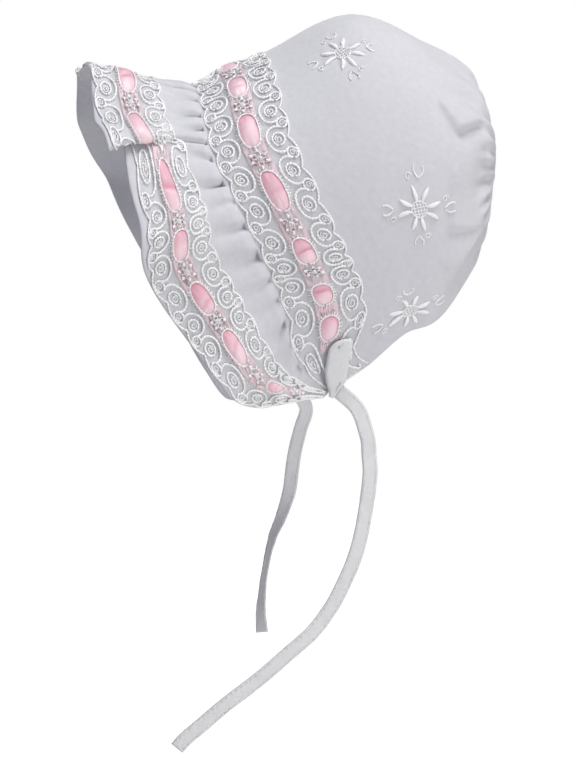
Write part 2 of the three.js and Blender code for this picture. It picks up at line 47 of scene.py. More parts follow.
def table(columns, *rows):
    """Table with named columns, as arrays"""
    return dict(zip(columns.split(), np.array(rows, float).T))


def rows_of(values):
    return zip(*values.values())


def arrays(*values):
    """Arrays of one shape"""
    return np.broadcast_arrays(*[np.asarray(value, float) for value in values])


def limited(value):
    return np.clip(value, 0, 1)


# Crown, measured from the head seat
CROWN_HALF_WIDTH = 60
FRONT_REACH = 72
BACK_REACH = 64
CORNER_DROP = 171
CLOTH = 1.2
BACK_PUFF = 4
BACK_GATHER = 0.9
BACK_GATHERS = 26
BACK_GATHERS_FROM = 0.85
BILLOW = 0.35
PANEL_BULGE = 3
PANEL_TOP_AROUND = 0.05
WIDEST_AROUND = 0.6
CREASE_AROUND = 175
CREASE_ALONG = 150

# Brim
BRIM_DEPTH = 52
SEAM_GATHERS = 36
SEAM_GATHERS_FADE = 0.12
SEAM_PUFF = 1.9
FLUTES_OPEN = 1.3
BRIM_HEM = 1.2
BRIM_HEM_WIDE = 3.4
BRIM_HEM_WIDE_AT = 0.47
BRIM_HEM_OVERHANG = 1.6
BRIM_HEM_LOW = -0.5

# Lace bands and the satin ribbon under them
LACE_WIDTH = 36
LACE_CORNER_NARROWING = 0.42
LACE_SHARE_OF_BRIM = 0.64
NARROWING_FROM = 0.86
REPEAT = 27
BEADING = 0.28

# Ties and the doubled tabs that sew them on
TIE_WIDTH = 6.6
TIE_THICKNESS = 1.1
TAB_WIDTH = 10
TAB_LENGTH = 22
TAB_THICKNESS = 2
TAB_FOOT_INSET = 2.2
TAB_FOOT_SLOPE = 0.2
TAB_SLANT = 18
TAB_HEAD_AROUND = 0.915
TAB_ON_LACE = 0.96
TAB_CURVE = 1.6
TAB_EDGE_STEP = 0.02
TAB_HEIGHT_ON_CLOTH = 2.65
TIE_TWIST = 1.3
TIE_COLUMNS = 170
GAP = 0.35

CROWN_SECTIONS = table(
    "at top_reach top_drop width wide_drop low_width low_reach low_drop lean",
    (0, -1, 0.195, 0.955, 0.58, 0.79, -0.225, 1, 1.5),
    (0.25, -0.52, 0.098, 0.99, 0.555, 0.84, 0, 0.938, 1.4),
    (0.5, 0, -0.007, 1.01, 0.515, 0.86, 0.25, 0.858, 1.25),
    (0.75, 0.53, 0.056, 0.965, 0.48, 0.8, 0.52, 0.808, 1.1),
    (0.9, 0.9, 0.13, 0.8, 0.45, 0.65, 0.8, 0.68, 1.2),
    (1, 1, 0.262, 0.52, 0.425, 0.43, 0.93, 0.57, 2),
)
SEAM_LEAN = table(
    "at back",
    (0, 0), (0.25, 0.05), (0.42, 0.235), (0.6, 0.45),
    (0.75, 0.61), (0.87, 0.69), (0.95, 0.81), (1, 1),
)
CROWN_DENTS = table(
    "around along height span_around span_along",
    (0.34, 0.86, -0.95, 0.05, 0.1),
    (0.43, 0.89, -0.25, 0.06, 0.07),
    (0.18, 0.86, -1.2, 0.1, 0.1),
    (0.62, 0.9, -0.8, 0.1, 0.06),
    (0.86, 0.84, 0.6, 0.08, 0.08),
    (0.99, 0.66, 0.25, 0.06, 0.1),
    (0.94, 0.85, -0.75, 0.05, 0.06),
    (-0.3, 0.88, 0.7, 0.07, 0.08),
    (-0.45, 0.87, -0.8, 0.06, 0.09),
    (-0.68, 0.9, -0.6, 0.09, 0.07),
    (-0.9, 0.8, 0.6, 0.09, 0.08),
)
CROWN_CREASES = table(
    "around along to_around to_along rise sharp reach",
    (0.392, 0.74, 0.47, 0.795, 1.8, 1, 8),
    (0.47, 0.797, 0.425, 0.88, 4, 1.1, 11),
    (0.56, 0.77, 0.73, 0.772, 1.1, 1.6, 10),
    (0.735, 0.762, 0.805, 0.89, 2.6, 1.4, 10),
    (0.895, 0.8, 0.815, 0.9, 2.4, 1.4, 8),
    (0.5, 0.915, 0.66, 0.965, 1.8, 1, 5),
)
BRIM_EDGE = table(
    "at forward flare down",
    (-1, 0.05, 0, 0.06), (-0.94, 0.1, 0.02, 0.29), (-0.87, 0.24, 0.06, 0.5),
    (-0.8, 0.32, 0.12, 0.5), (-0.7, 0.46, 0.2, 0.32), (-0.6, 0.565, 0.26, 0.12),
    (-0.5, 0.635, 0.29, 0.04), (-0.4, 0.8, 0.32, 0.04), (-0.3, 0.87, 0.34, 0.06),
    (-0.15, 0.96, 0.26, 0.06), (0, 0.97, 0.14, 0), (0.15, 0.94, 0.26, 0.1),
    (0.3, 0.92, 0.38, 0.3), (0.4, 0.8, 0.36, 0.2), (0.5, 0.775, 0.3, 0.34),
    (0.6, 0.875, 0.26, 0.4), (0.7, 0.67, 0.2, 0.57), (0.8, 0.48, 0.11, 0.71),
    (0.87, 0.28, 0.05, 0.58), (0.94, 0.1, 0.01, 0.31), (1, 0.05, 0, 0.06),
)
FLUTES = table(
    "at span height lean push",
    (0.02, 0.07, -0.05, 0, 0), (0.18, 0.07, 0.08, 0, 0),
    (0.34, 0.038, 0.115, 0.076, 0.135), (0.408, 0.036, -0.12, -0.08, -0.185),
    (0.55, 0.06, 0.07, 0.01, 0), (0.68, 0.06, -0.07, 0, 0),
    (0.79, 0.05, 0.06, 0, 0), (0.89, 0.04, -0.03, 0, 0),
    (-0.14, 0.07, 0.12, -0.02, 0), (-0.27, 0.06, -0.08, 0, 0),
    (-0.4, 0.065, 0.12, -0.03, 0), (-0.53, 0.06, -0.08, 0, 0),
    (-0.66, 0.06, 0.09, -0.01, 0), (-0.78, 0.05, -0.05, 0, 0),
    (-0.88, 0.04, 0.04, 0, 0),
)
FRONT_REPEATS = table(
    "at around",
    (0, 0), (0.5, 0.085), (1.5, 0.235), (2.5, 0.387),
    (3.5, 0.537), (4.5, 0.688), (5.5, 0.793), (6.5, 1),
)
BRIM_REPEATS = table(
    "at around",
    (0, 0), (1, 0.19), (2, 0.33), (3, 0.485), (4, 0.58),
    (5, 0.676), (6, 0.759), (7, 0.89), (8, 1),
)
TAB_OUTLINE = table(
    "at width",
    (0, 0.45), (0.08, 0.85), (0.22, 1), (0.45, 1),
    (0.7, 0.98), (0.86, 0.86), (1, 0.72),
)
LEFT_TIE_ROUTE = [
    (52, -6, -178), (52.5, -3.5, -182.5), (53, -2, -187.5), (53, -0.5, -193),
    (52.5, 0, -199.5), (52.5, 0.5, -206), (52.5, 0, -213), (52, -1.5, -224),
    (52, -3.5, -234.5), (51.5, -6.5, -245), (51, -11, -255.5), (50, -16.5, -266),
    (49.5, -24.5, -276.5), (49, -36, -286.5), (48.5, -48.5, -297), (48, -62, -307),
    (47, -74, -317), (46.5, -80.5, -322.5), (46, -83.5, -326),
]
RIGHT_TIE_ROUTE = [
    (-52.5, -8.5, -180.5), (-53, -11, -189.5), (-52.5, -14, -201), (-52.5, -15.5, -211),
    (-52, -16.5, -218.5), (-52, -18, -224.5), (-51.5, -20, -230), (-51, -22.5, -236),
    (-51, -25, -241.5), (-50.5, -28, -253), (-50, -30, -264.5), (-49.5, -31, -276),
    (-49.5, -31, -281.5), (-49, -30.5, -287.5),
]


# Camera, at the height of the bonnet's middle and a little ahead of its left side
camera_data = bpy.data.cameras.new("photo_camera")
camera_data.lens = 101.9
camera_data.sensor_width = 36
camera_data.clip_start = 0.05
camera = bpy.data.objects.new("photo_camera", camera_data)
camera.location = (0.9803, -0.1995, -0.1684)
camera.rotation_euler = (math.pi / 2, 0, math.radians(80))
bpy.context.scene.collection.objects.link(camera)
bpy.context.scene.camera = camera


# Curves through the tables and the surfaces they give
def smooth(values, column, at):
    """Smooth curve through one column of a table"""
    places = values["at"]
    heights = values[column]
    last = len(places) - 1
    index = np.clip(np.searchsorted(places, at, side="left") - 1, 0, last - 1)
    before = np.maximum(np.arange(last + 1) - 1, 0)
    after = np.minimum(np.arange(last + 1) + 1, last)
    slopes = (heights[after] - heights[before]) / (places[after] - places[before])
    span = places[index + 1] - places[index]
    s = limited((at - places[index]) / span)
    rise = s * s * (3 - 2 * s)
    start_pull = s * (1 - s) * (1 - s) * span * slopes[index]
    end_pull = s * s * (s - 1) * span * slopes[index + 1]
    return heights[index] + (heights[index + 1] - heights[index]) * rise + start_pull + end_pull


def bump(distance, span):
    """Rounded bump of height 1 that has faded at about twice its span"""
    return np.exp(-((distance / span) ** 2))


def ease(value, start=0.0, end=1.0):
    """0 before start, 1 after end, with a soft step between"""
    s = limited((value - start) / (end - start))
    return s * s * (3 - 2 * s)


def mix(a, b, share):
    return a + (b - a) * share


def unit(vectors):
    lengths = np.linalg.norm(vectors, axis=-1, keepdims=True)
    return vectors / np.maximum(lengths, 1e-9)


def scattered(number):
    """Fixed scattered value between 0 and 1 for each whole number"""
    wave = np.sin(np.asarray(number, float) * 12.9898 + 4.1) * 43758.5453
    return wave - np.floor(wave)


def uneven(at, pace, turn):
    """Slow uneven wave between about -1 and 1"""
    return (
        0.5 * np.sin(pace * at + turn)
        + 0.3 * np.sin(2.3 * pace * at + 1.7 * turn)
        + 0.2 * np.sin(4.1 * pace * at + 2.9 * turn)
    )


def reach_to_y(share):
    """Place in front of or behind the head seat, from a share of the reach to that side"""
    return np.where(share < 0, share * FRONT_REACH, share * BACK_REACH)


def plain_crown(around, along):
    """Crown cloth without its dents. around runs from -1 at the right corner over the top to 1"""
    around, along = arrays(around, along)
    cut = {name: smooth(CROWN_SECTIONS, name, along) for name in CROWN_SECTIONS if name != "at"}
    share = np.abs(around)
    side = np.where(around < 0, -1.0, 1.0)
    top_z, wide_z, low_z = (-cut[level + "_drop"] * CORNER_DROP for level in ("top", "wide", "low"))
    width, low_width = (cut[name] * CROWN_HALF_WIDTH for name in ("width", "low_width"))
    angle = share / WIDEST_AROUND * (math.pi / 2)
    below = (share - WIDEST_AROUND) / (1 - WIDEST_AROUND)
    is_upper = share < WIDEST_AROUND
    x = np.where(is_upper, width * np.sin(angle), mix(width, low_width, below**2))
    z = np.where(is_upper, mix(wide_z, top_z, np.cos(angle)), mix(wide_z, low_z, below))
    top_y, low_y = (reach_to_y(cut[level + "_reach"]) for level in ("top", "low"))
    fallen = np.maximum((top_z - z) / (top_z - low_z), 0)
    like_seam = 1 - ease(along, 0, 0.5)
    leaned = mix(fallen ** cut["lean"], smooth(SEAM_LEAN, "back", fallen), like_seam)
    return np.stack([side * x, mix(top_y, low_y, leaned), z], axis=-1)


def normal_of(surface, a, b, facing):
    """Outward normal of a surface given by two shares"""
    along_a = surface(a + NORMAL_STEP, b) - surface(a - NORMAL_STEP, b)
    along_b = surface(a, b + NORMAL_STEP) - surface(a, b - NORMAL_STEP)
    return facing * unit(np.cross(along_a, along_b))


def grid_normals(points, facing):
    """Normals of a grid of points"""
    return facing * unit(np.cross(np.gradient(points, axis=0), np.gradient(points, axis=1)))


def crease(around, along, from_around, from_along, to_around, to_along, rise, sharp, reach):
    """Fold that swells towards its line from one side and drops sharply over it"""
    x = (around - from_around) * CREASE_AROUND
    y = (along - from_along) * CREASE_ALONG
    line_x = (to_around - from_around) * CREASE_AROUND
    line_y = (to_along - from_along) * CREASE_ALONG
    length = math.hypot(line_x, line_y)
    walked = (x * line_x + y * line_y) / length
    aside = (x * line_y - y * line_x) / length
    step = np.tanh(-aside / sharp) * np.exp(-np.abs(aside) / reach)
    start = ease(walked, -0.35 * reach, 0.25 * reach)
    end = 1 - ease(walked, length - 0.25 * reach, length + 0.35 * reach)
    return 0.5 * rise * step * start * end


def crown_folds(around, along):
    """Soft folds, billows and back gathers of the crown, as a height"""
    near_panel = np.maximum((along - BACK_GATHERS_FROM) / (1 - BACK_GATHERS_FROM), 0)
    gather_share = (27 / 4) * near_panel**2 * (1 - near_panel)
    phase = BACK_GATHERS * around + 0.8 * uneven(around, 9, 1.3)
    lift = BACK_GATHER * gather_share * np.cos(math.pi * phase)
    for at_around, at_along, height, span_around, span_along in rows_of(CROWN_DENTS):
        dent = bump(around - at_around, span_around) * bump(along - at_along, span_along)
        lift = lift + BACK_PUFF * height * dent
    for row in rows_of(CROWN_CREASES):
        lift = lift + crease(around, along, *row)
    billow = uneven(2.2 * around + 1.4 * along, 6, 0.4) * ease(along, 0.3, 0.6)
    return lift + BILLOW * billow


def crown_point(around, along):
    """Crown cloth with its gathers, dents and folds"""
    around, along = arrays(around, along)
    inside = limited(along)
    a = np.clip(around, -0.99, 0.99)
    b = np.clip(inside, 0.01, 0.99)
    normal = normal_of(plain_crown, a, b, 1)
    return plain_crown(around, inside) + normal * crown_folds(around, inside)[..., None]


def crown_normal(around, along):
    a = np.clip(around, -0.995, 0.995)
    b = np.clip(along, 0.005, 0.995)
    return normal_of(crown_point, a, b, 1)


def along_at_distance(around, distance):
    """Share along the crown at a distance from the front seam, measured over the cloth"""
    around, distance = arrays(around, distance)
    steps = np.linspace(0, 1, 41)
    walked = walked_along(plain_crown(around[..., None], steps))
    out = np.empty(around.shape)
    for place in np.ndindex(around.shape):
        out[place] = np.interp(distance[place], walked[place], steps)
    return out + np.minimum(distance, 0) * steps[1] / walked[..., 1]


def plain_brim(around, out):
    """Straight line of the brim from the front seam to the free edge"""
    around, out = arrays(around, out)
    share = np.clip(around, -1, 1)
    arch = normal_of(plain_crown, np.clip(share, -0.99, 0.99), 0.01, 1)
    arch[..., 1] = 0
    arch = unit(arch)
    to_edge = arch * (smooth(BRIM_EDGE, "flare", share) * BRIM_DEPTH)[..., None]
    to_edge[..., 1] -= smooth(BRIM_EDGE, "forward", share) * BRIM_DEPTH
    to_edge[..., 2] -= smooth(BRIM_EDGE, "down", share) * BRIM_DEPTH
    return plain_crown(share, 0) + to_edge * out[..., None]


def seam_gathers(around, out):
    """Pleats that run from the front seam into the brim, as a height"""
    slanted = around + 0.05 * np.maximum(out, 0) ** 1.5
    phase = SEAM_GATHERS / 2 * slanted + 0.3 * uneven(around, 14, 0.7)
    number = np.round(phase)
    offset = phase - number
    reach = 0.34 + 0.34 * scattered(number)
    fade = limited(1 - out / reach) ** 1.3
    width = 0.11 + 0.27 * limited(out / reach)
    depth = (1.6 + 3.6 * scattered(number + 60)) * fade
    puff = SEAM_PUFF * limited(out / 0.1) ** 0.6 * limited(1 - out / 0.55)
    end_fade = limited((1 - np.abs(around)) / SEAM_GATHERS_FADE)
    return end_fade * (puff - depth * bump(offset, width) * limited(out / 0.02))


def fluted_brim(around, out, gathers):
    """Brim cloth with its flutes, and with its seam gathers as a share"""
    around, out = arrays(around, out)
    opened = np.maximum(out, 0) ** FLUTES_OPEN
    shifted = around.copy()
    height = gathers * seam_gathers(around, out)
    push = 0
    for at, span, rise, lean, ahead in rows_of(FLUTES):
        spread = bump(around - at, span) * opened
        height = height + rise * BRIM_DEPTH * spread
        push = push + ahead * BRIM_DEPTH * spread
        shifted = shifted + lean * spread
    normal = normal_of(plain_brim, np.clip(shifted, -0.99, 0.99), np.maximum(out, 0.05), -1)
    point = plain_brim(shifted, out) + normal * height[..., None]
    point[..., 1] -= push
    return point


def brim_reach(around):
    return np.linalg.norm(plain_brim(around, 1) - plain_brim(around, 0), axis=-1)


# Meshes from grids of points
def make_object(name, vertices, faces, cloth_places=None):
    """Object at the origin with its vertices given in millimetres"""
    mesh = bpy.data.meshes.new(name)
    mesh.from_pydata((np.asarray(vertices) * MM).tolist(), [], faces)
    if cloth_places is not None:
        attribute = mesh.attributes.new("cloth_place", "FLOAT_VECTOR", "POINT")
        attribute.data.foreach_set("vector", np.asarray(cloth_places, np.float32).ravel())
    mesh.polygons.foreach_set("use_smooth", [True] * len(mesh.polygons))
    mesh.update()
    made = bpy.data.objects.new(name, mesh)
    bpy.context.scene.collection.objects.link(made)
    return made


def walked_along(points):
    """Distance from the first point to each point of a line, or of every line of a grid"""
    strides = np.linalg.norm(np.diff(points, axis=-2), axis=-1)
    return np.concatenate([np.zeros(strides.shape[:-1] + (1,)), np.cumsum(strides, axis=-1)], axis=-1)


def along_line(distances, walked, values):
    """Values at some distances along a line, given the distance walked at each of its points"""
    return np.stack([np.interp(distances, walked, column) for column in values.T], axis=-1)


def grid_places(points):
    """Distances over the cloth in both directions, for the weave to follow"""
    places = np.zeros(points.shape)
    places[..., 0] = walked_along(points[:, points.shape[1] // 2])[:, None]
    places[..., 1] = walked_along(points)
    return places


def wall(name, outer, inner, places=None):
    """Closed cloth wall between an outer and an inner grid, with rounded edges"""
    columns, rows = outer.shape[:2]
    if places is None:
        places = grid_places(outer)
    half = np.linalg.norm(outer - inner, axis=-1, keepdims=True) / 2
    low_edge = mix(outer, inner, 0.5)[:, :1] + unit(outer[:, :1] - outer[:, 1:2]) * half[:, :1]
    high_edge = mix(outer, inner, 0.5)[:, -1:] + unit(outer[:, -1:] - outer[:, -2:-1]) * half[:, -1:]
    loop = np.concatenate([outer, high_edge, inner[:, ::-1], low_edge], axis=1)
    loop_places = np.concatenate([places, places[:, -1:], places[:, ::-1], places[:, :1]], axis=1)
    count = loop.shape[1]
    index = np.arange(columns * count).reshape(columns, count)
    ahead = np.roll(index, -1, axis=1)
    quads = np.stack([index[:-1], index[1:], ahead[1:], ahead[:-1]], axis=-1).reshape(-1, 4)
    faces = quads.tolist()
    for column, is_first in ((0, True), (columns - 1, False)):
        ring = index[column]
        strip = [[ring[j], ring[j + 1], ring[count - 3 - j], ring[count - 2 - j]] for j in range(rows - 1)]
        strip.append([ring[rows - 1], ring[rows], ring[rows + 1]])
        strip.append([ring[count - 2], ring[count - 1], ring[0]])
        faces += [[int(v) for v in (face if is_first else face[::-1])] for face in strip]
    made = make_object(name, loop.reshape(-1, 3), faces, loop_places.reshape(-1, 3))
    face_outwards(made)
    return made


def face_outwards(made):
    """Turns all faces if the closed mesh has them pointing in"""
    mesh = made.data
    mesh.calc_loop_triangles()
    corners = np.empty(len(mesh.vertices) * 3)
    mesh.vertices.foreach_get("co", corners)
    triangles = np.empty(len(mesh.loop_triangles) * 3, np.int32)
    mesh.loop_triangles.foreach_get("vertices", triangles)
    a, b, c = corners.reshape(-1, 3)[triangles.reshape(-1, 3).T]
    if np.sum(a * np.cross(b, c)) < 0:
        mesh.flip_normals()


def strand(points, normals, width, height, closed=False, sides=6, beading=0.0):
    """Rounded thread lying on a surface: its vertices, faces and places along the thread"""
    points = np.asarray(points, float)
    normals = np.asarray(normals, float)
    count = len(points)
    if closed:
        tangent = np.roll(points, -1, axis=0) - np.roll(points, 1, axis=0)
    else:
        tangent = np.gradient(points, axis=0)
    sideways = unit(np.cross(normals, unit(tangent)))
    beads = 1 + beading * np.where(np.arange(count) % 2 == 0, 1.0, -1.0)
    width = (np.broadcast_to(width, (count,)) * beads)[:, None, None] / 2
    height = (np.broadcast_to(height, (count,)) * beads)[:, None, None] / 2
    angles = np.arange(sides) * (2 * math.pi / sides)
    across = np.cos(angles)[None, :, None] * width * sideways[:, None]
    upward = np.sin(angles)[None, :, None] * height * normals[:, None]
    vertices = points[:, None] + across + upward
    places = np.zeros((count, sides, 3))
    places[..., 0] = walked_along(points)[:, None]
    places[..., 1] = angles / (2 * math.pi)
    index = np.arange(count * sides).reshape(count, sides)
    around = np.roll(index, -1, axis=1)
    ahead = np.roll(index, -1, axis=0)
    around_ahead = np.roll(around, -1, axis=0)
    quads = np.stack([index, around, around_ahead, ahead], axis=-1)
    faces = (quads if closed else quads[:-1]).reshape(-1, 4).tolist()
    if not closed:
        faces += [index[0][::-1].tolist(), index[-1].tolist()]
    return vertices.reshape(-1, 3), faces, places.reshape(-1, 3)


def thread_work(name, strands, material, slot, *nodes):
    """One piece from many strands"""
    vertices = []
    faces = []
    places = []
    start = 0
    for points, polygons, along in strands:
        vertices.append(points)
        places.append(along)
        faces += [[v + start for v in polygon] for polygon in polygons]
        start += len(points)
    made = make_object(name, np.concatenate(vertices), faces, np.concatenate(places))
    return finish_piece(made, material, slot, *nodes)


def stitches(points, normals, pitch, length, width, height):
    """Row of short stitches along a line"""
    made = []
    walked = walked_along(points)
    for start in np.arange(pitch * 0.4, walked[-1] - length, pitch):
        at = start + np.array([0, 0.2, 0.5, 0.8, 1.0]) * length
        up = unit(along_line(at, walked, normals))
        sunk = np.array([-0.6, 0.1, 0.35, 0.1, -0.6])[:, None] * height
        made.append(strand(along_line(at, walked, points) + up * sunk, up, width, height, sides=5))
    return made


def cell(values, place):
    """Number of the grid cell that a place lies in, and its share of the way across"""
    index = np.clip(np.searchsorted(values, place) - 1, 0, len(values) - 2)
    return index, ((place - values[index]) / (values[index + 1] - values[index]))[..., None]


class Surface:
    """Grid of points and normals that gives any place between them"""

    def __init__(self, a_values, b_values, points, facing):
        self.a_values = a_values
        self.b_values = b_values
        self.points = points
        self.normals = grid_normals(points, facing)

    def at(self, a, b, lift=0.0):
        """Point and normal at two coordinates, raised by lift"""
        a, b = arrays(a, b)
        i, s = cell(self.a_values, a)
        j, t = cell(self.b_values, b)
        s = np.clip(s, -1, 2)

        def between(grid):
            low = mix(grid[i, j], grid[i + 1, j], s)
            high = mix(grid[i, j + 1], grid[i + 1, j + 1], s)
            return mix(low, high, t)

        normal = unit(between(self.normals))
        return between(self.points) + normal * np.asarray(lift, float)[..., None], normal


# Materials
def new_group(name, numbers):
    """Empty shader node group: a place and named numbers in, a height and a mask out"""
    group = bpy.data.node_groups.new(name, "ShaderNodeTree")
    group.interface.new_socket("Place", in_out="INPUT", socket_type="NodeSocketVector")
    for label, value in numbers.items():
        socket = group.interface.new_socket(label, in_out="INPUT", socket_type="NodeSocketFloat")
        socket.default_value = value
    for label in ("Height", "Mask"):
        group.interface.new_socket(label, in_out="OUTPUT", socket_type="NodeSocketFloat")
    return group, group.nodes.new("NodeGroupInput").outputs


def give_out(group, height, mask):
    """Links the two results of a shader node group"""
    node(group, "NodeGroupOutput", [("Height", height), ("Mask", mask)])
    return group


def node(tree, kind, links=(), **settings):
    """New node with its settings and its links in"""
    made = tree.nodes.new(kind)
    for key, value in settings.items():
        setattr(made, key, value)
    for socket, value in links:
        if isinstance(value, bpy.types.NodeSocket):
            tree.links.new(value, made.inputs[socket])
        else:
            made.inputs[socket].default_value = value
    return made


def maths(tree, operation, first, second=0.0, third=0.0):
    links = [(0, first), (1, second), (2, third)]
    return node(tree, "ShaderNodeMath", links, operation=operation).outputs[0]


def sine(tree, value, factor):
    """Sine of a value times a factor"""
    return maths(tree, "SINE", maths(tree, "MULTIPLY", value, factor))


def halved(tree, wave):
    """Brings a wave between -1 and 1 to between 0 and 1"""
    return maths(tree, "MULTIPLY_ADD", wave, 0.5, 0.5)


def noise(tree, place, scale, detail=2.0):
    links = [("Vector", place), ("Scale", scale), ("Detail", detail)]
    return node(tree, "ShaderNodeTexNoise", links).outputs[0]


def spread(tree, value, from_min, from_max, to_min=0.0, to_max=1.0):
    """Brings a value from one range to another"""
    names = ("Value", "From Min", "From Max", "To Min", "To Max")
    links = zip(names, (value, from_min, from_max, to_min, to_max))
    return node(tree, "ShaderNodeMapRange", links).outputs[0]


def parts_of(tree, place):
    return node(tree, "ShaderNodeSeparateXYZ", [(0, place)]).outputs


def woven_group():
    """Plain weave: threads over and under each other, with uneven thread thickness"""
    group, given = new_group("Plain weave", {"Threads per mm": 2.4})
    place = given["Place"]
    slip = maths(group, "MULTIPLY", noise(group, place, 0.9, 3.0), 0.6)
    waves = []
    for distance in parts_of(group, place)[:2]:
        threads = maths(group, "MULTIPLY_ADD", distance, given["Threads per mm"], slip)
        waves.append(sine(group, threads, math.pi))
    height = halved(group, maths(group, "MULTIPLY", *waves))
    return give_out(group, height, noise(group, place, 0.35, 4.0))


def twist_group():
    """Twisted thread: slanting strands round a thread"""
    group, given = new_group("Twisted thread", {"Pitch": 1.0})
    along, around = parts_of(group, given["Place"])[:2]
    slanted = maths(group, "ADD", maths(group, "DIVIDE", along, given["Pitch"]), around)
    height = halved(group, sine(group, slanted, 2 * math.pi))
    return give_out(group, height, noise(group, given["Place"], 0.8))


def net_group():
    """Fine sheer net: a mask of its threads and open cells"""
    group, given = new_group("Sheer net", {"Cell": 0.9, "Thread share": 0.3})
    across, along = parts_of(group, given["Place"])[:2]
    threads = []
    for operation in ("ADD", "SUBTRACT"):
        cells = maths(group, "DIVIDE", maths(group, operation, across, along), given["Cell"])
        threads.append(maths(group, "ABSOLUTE", sine(group, cells, math.pi)))
    nearest = maths(group, "MINIMUM", *threads)
    share = given["Thread share"]
    mask = spread(group, nearest, share, maths(group, "MULTIPLY", share, 1.8), 1.0, 0.0)
    return give_out(group, maths(group, "SUBTRACT", 1.0, nearest), mask)


WOVEN = woven_group()
TWIST = twist_group()
NET = net_group()


def new_material(name, roughness, sheen, specular):
    """Material with its shader ready, and its places over the cloth"""
    material = bpy.data.materials.new(name)
    material.use_nodes = True
    tree = material.node_tree
    shader = tree.nodes["Principled BSDF"]
    shader.inputs["Roughness"].default_value = roughness
    shader.inputs["Sheen Weight"].default_value = sheen
    shader.inputs["Specular IOR Level"].default_value = specular
    place = node(tree, "ShaderNodeAttribute", attribute_name="cloth_place").outputs["Vector"]
    return material, tree, shader, place


def grouped(tree, group, place, **numbers):
    """Outputs of a shader node group placed in a material"""
    links = [("Place", place), *[(label.replace("_", " "), value) for label, value in numbers.items()]]
    return node(tree, "ShaderNodeGroup", links, node_tree=group).outputs


def two_tones(tree, shader, mask, low, high, from_min=0.3, from_max=0.7):
    """Base colour between two tones by a mask"""
    share = spread(tree, mask, from_min, from_max)
    tones = node(tree, "ShaderNodeMix", [(0, share), (6, (*low, 1)), (7, (*high, 1))], data_type="RGBA")
    tree.links.new(tones.outputs[2], shader.inputs["Base Color"])


def add_bump(tree, shader, height, distance):
    made = node(tree, "ShaderNodeBump", [("Height", height), ("Distance", distance), ("Strength", 1.0)])
    tree.links.new(made.outputs[0], shader.inputs["Normal"])


def cotton_material(name, low, high):
    material, tree, shader, place = new_material(name, 0.82, sheen=0.12, specular=0.25)
    weave = grouped(tree, WOVEN, place, Threads_per_mm=2.4)
    two_tones(tree, shader, weave["Mask"], low, high)
    creases = noise(tree, place, 0.07, 5.0)
    add_bump(tree, shader, maths(tree, "MULTIPLY_ADD", creases, 12.0, weave["Height"]), 0.00004)
    return material


def thread_material(name, low, high, pitch, roughness, specular):
    material, tree, shader, place = new_material(name, roughness, sheen=0.1, specular=specular)
    twist = grouped(tree, TWIST, place, Pitch=pitch)
    # Painted shade and highlight: the base colour is darker in the grooves of the twist and lighter on its
    # crests
    two_tones(tree, shader, twist["Height"], low, high, 0.0, 1.0)
    add_bump(tree, shader, twist["Height"], 0.00014)
    return material


def net_material():
    material, tree, shader, place = new_material("sheer_lace_net", 0.6, sheen=0.1, specular=0.3)
    net = grouped(tree, NET, place, Cell=0.95, Thread_share=0.27)
    weave = grouped(tree, WOVEN, place, Threads_per_mm=1.2)
    two_tones(tree, shader, weave["Mask"], (0.93, 0.93, 0.96), (0.98, 0.98, 1.0))
    tree.links.new(spread(tree, net["Mask"], 0.0, 1.0, 0.08, 0.55), shader.inputs["Alpha"])
    add_bump(tree, shader, net["Height"], 0.00006)
    return material


def satin_material():
    """Satin with painted light: a painted highlight where it puffs up, painted shade where it dives under
    the lace and in its pinches
    """
    material, tree, shader, place = new_material("pink_ribbon_satin", 0.4, sheen=0.2, specular=0.5)
    weave = grouped(tree, WOVEN, place, Threads_per_mm=3.5)
    # Base colour: the weave's random tone plus the painted highlight and painted shade that the ribbon
    # keeps in the third part of its places
    shade = maths(tree, "MULTIPLY_ADD", weave["Mask"], 0.3, parts_of(tree, place)[2])
    two_tones(tree, shader, shade, (0.74, 0.34, 0.43), (1.0, 0.82, 0.87), 0.15, 1.15)
    links = [(0, place), (1, (0.25, 3.0, 1.0))]
    stretched = node(tree, "ShaderNodeVectorMath", links, operation="MULTIPLY").outputs[0]
    add_bump(tree, shader, noise(tree, stretched, 1.0), 0.00012)
    return material


COTTON = cotton_material("bonnet_cotton", (0.605, 0.605, 0.645), (0.645, 0.645, 0.68))
# Ties and tabs: the bonnet's white cotton painted lighter, to make up for the weaker light that falls on
# them
TIE_COTTON = cotton_material("tie_cotton", (0.73, 0.73, 0.74), (0.77, 0.77, 0.78))
# Thread tones: the low tone is painted shade in the twist's grooves, the high tone painted highlight on
# its crests
LACE_THREAD = thread_material("lace_thread", (0.92, 0.92, 0.94), (1.0, 1.0, 1.0), 1.5, 0.28, 0.9)
FLOWER_THREAD = thread_material("flower_thread", (0.95, 0.95, 0.97), (1.0, 1.0, 1.0), 0.8, 0.28, 0.9)
SEWING_THREAD = thread_material("sewing_thread", (0.70, 0.70, 0.74), (0.84, 0.84, 0.87), 0.5, 0.6, 0.5)
LACE_NET = net_material()
SATIN = satin_material()


def finish_piece(made, material, slot, *nodes):
    """Gives a piece its material, lets it ride, and hides the nodes it stands for"""
    made.data.materials.append(material)
    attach(made, "root")
    if nodes:
        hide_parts(*nodes)
    return made


def cloth_wall(name, outer, normals, replaced):
    """Wall of the white cloth that replaces one solid"""
    made = wall(name, outer, outer - normals * CLOTH)
    return finish_piece(made, COTTON, "white_cloth", replaced)


# Crown cloth
CROWN_COLUMNS = 300
CROWN_ROWS = 110
around_values = np.linspace(-1, 1, CROWN_COLUMNS)
along_values = np.linspace(0, 1, CROWN_ROWS)
crown_outer = crown_point(around_values[:, None], along_values[None, :])
crown_surface = Surface(around_values, along_values, crown_outer, 1)
crown_cloth = cloth_wall("crown_cloth", crown_outer, crown_surface.normals, "crown")

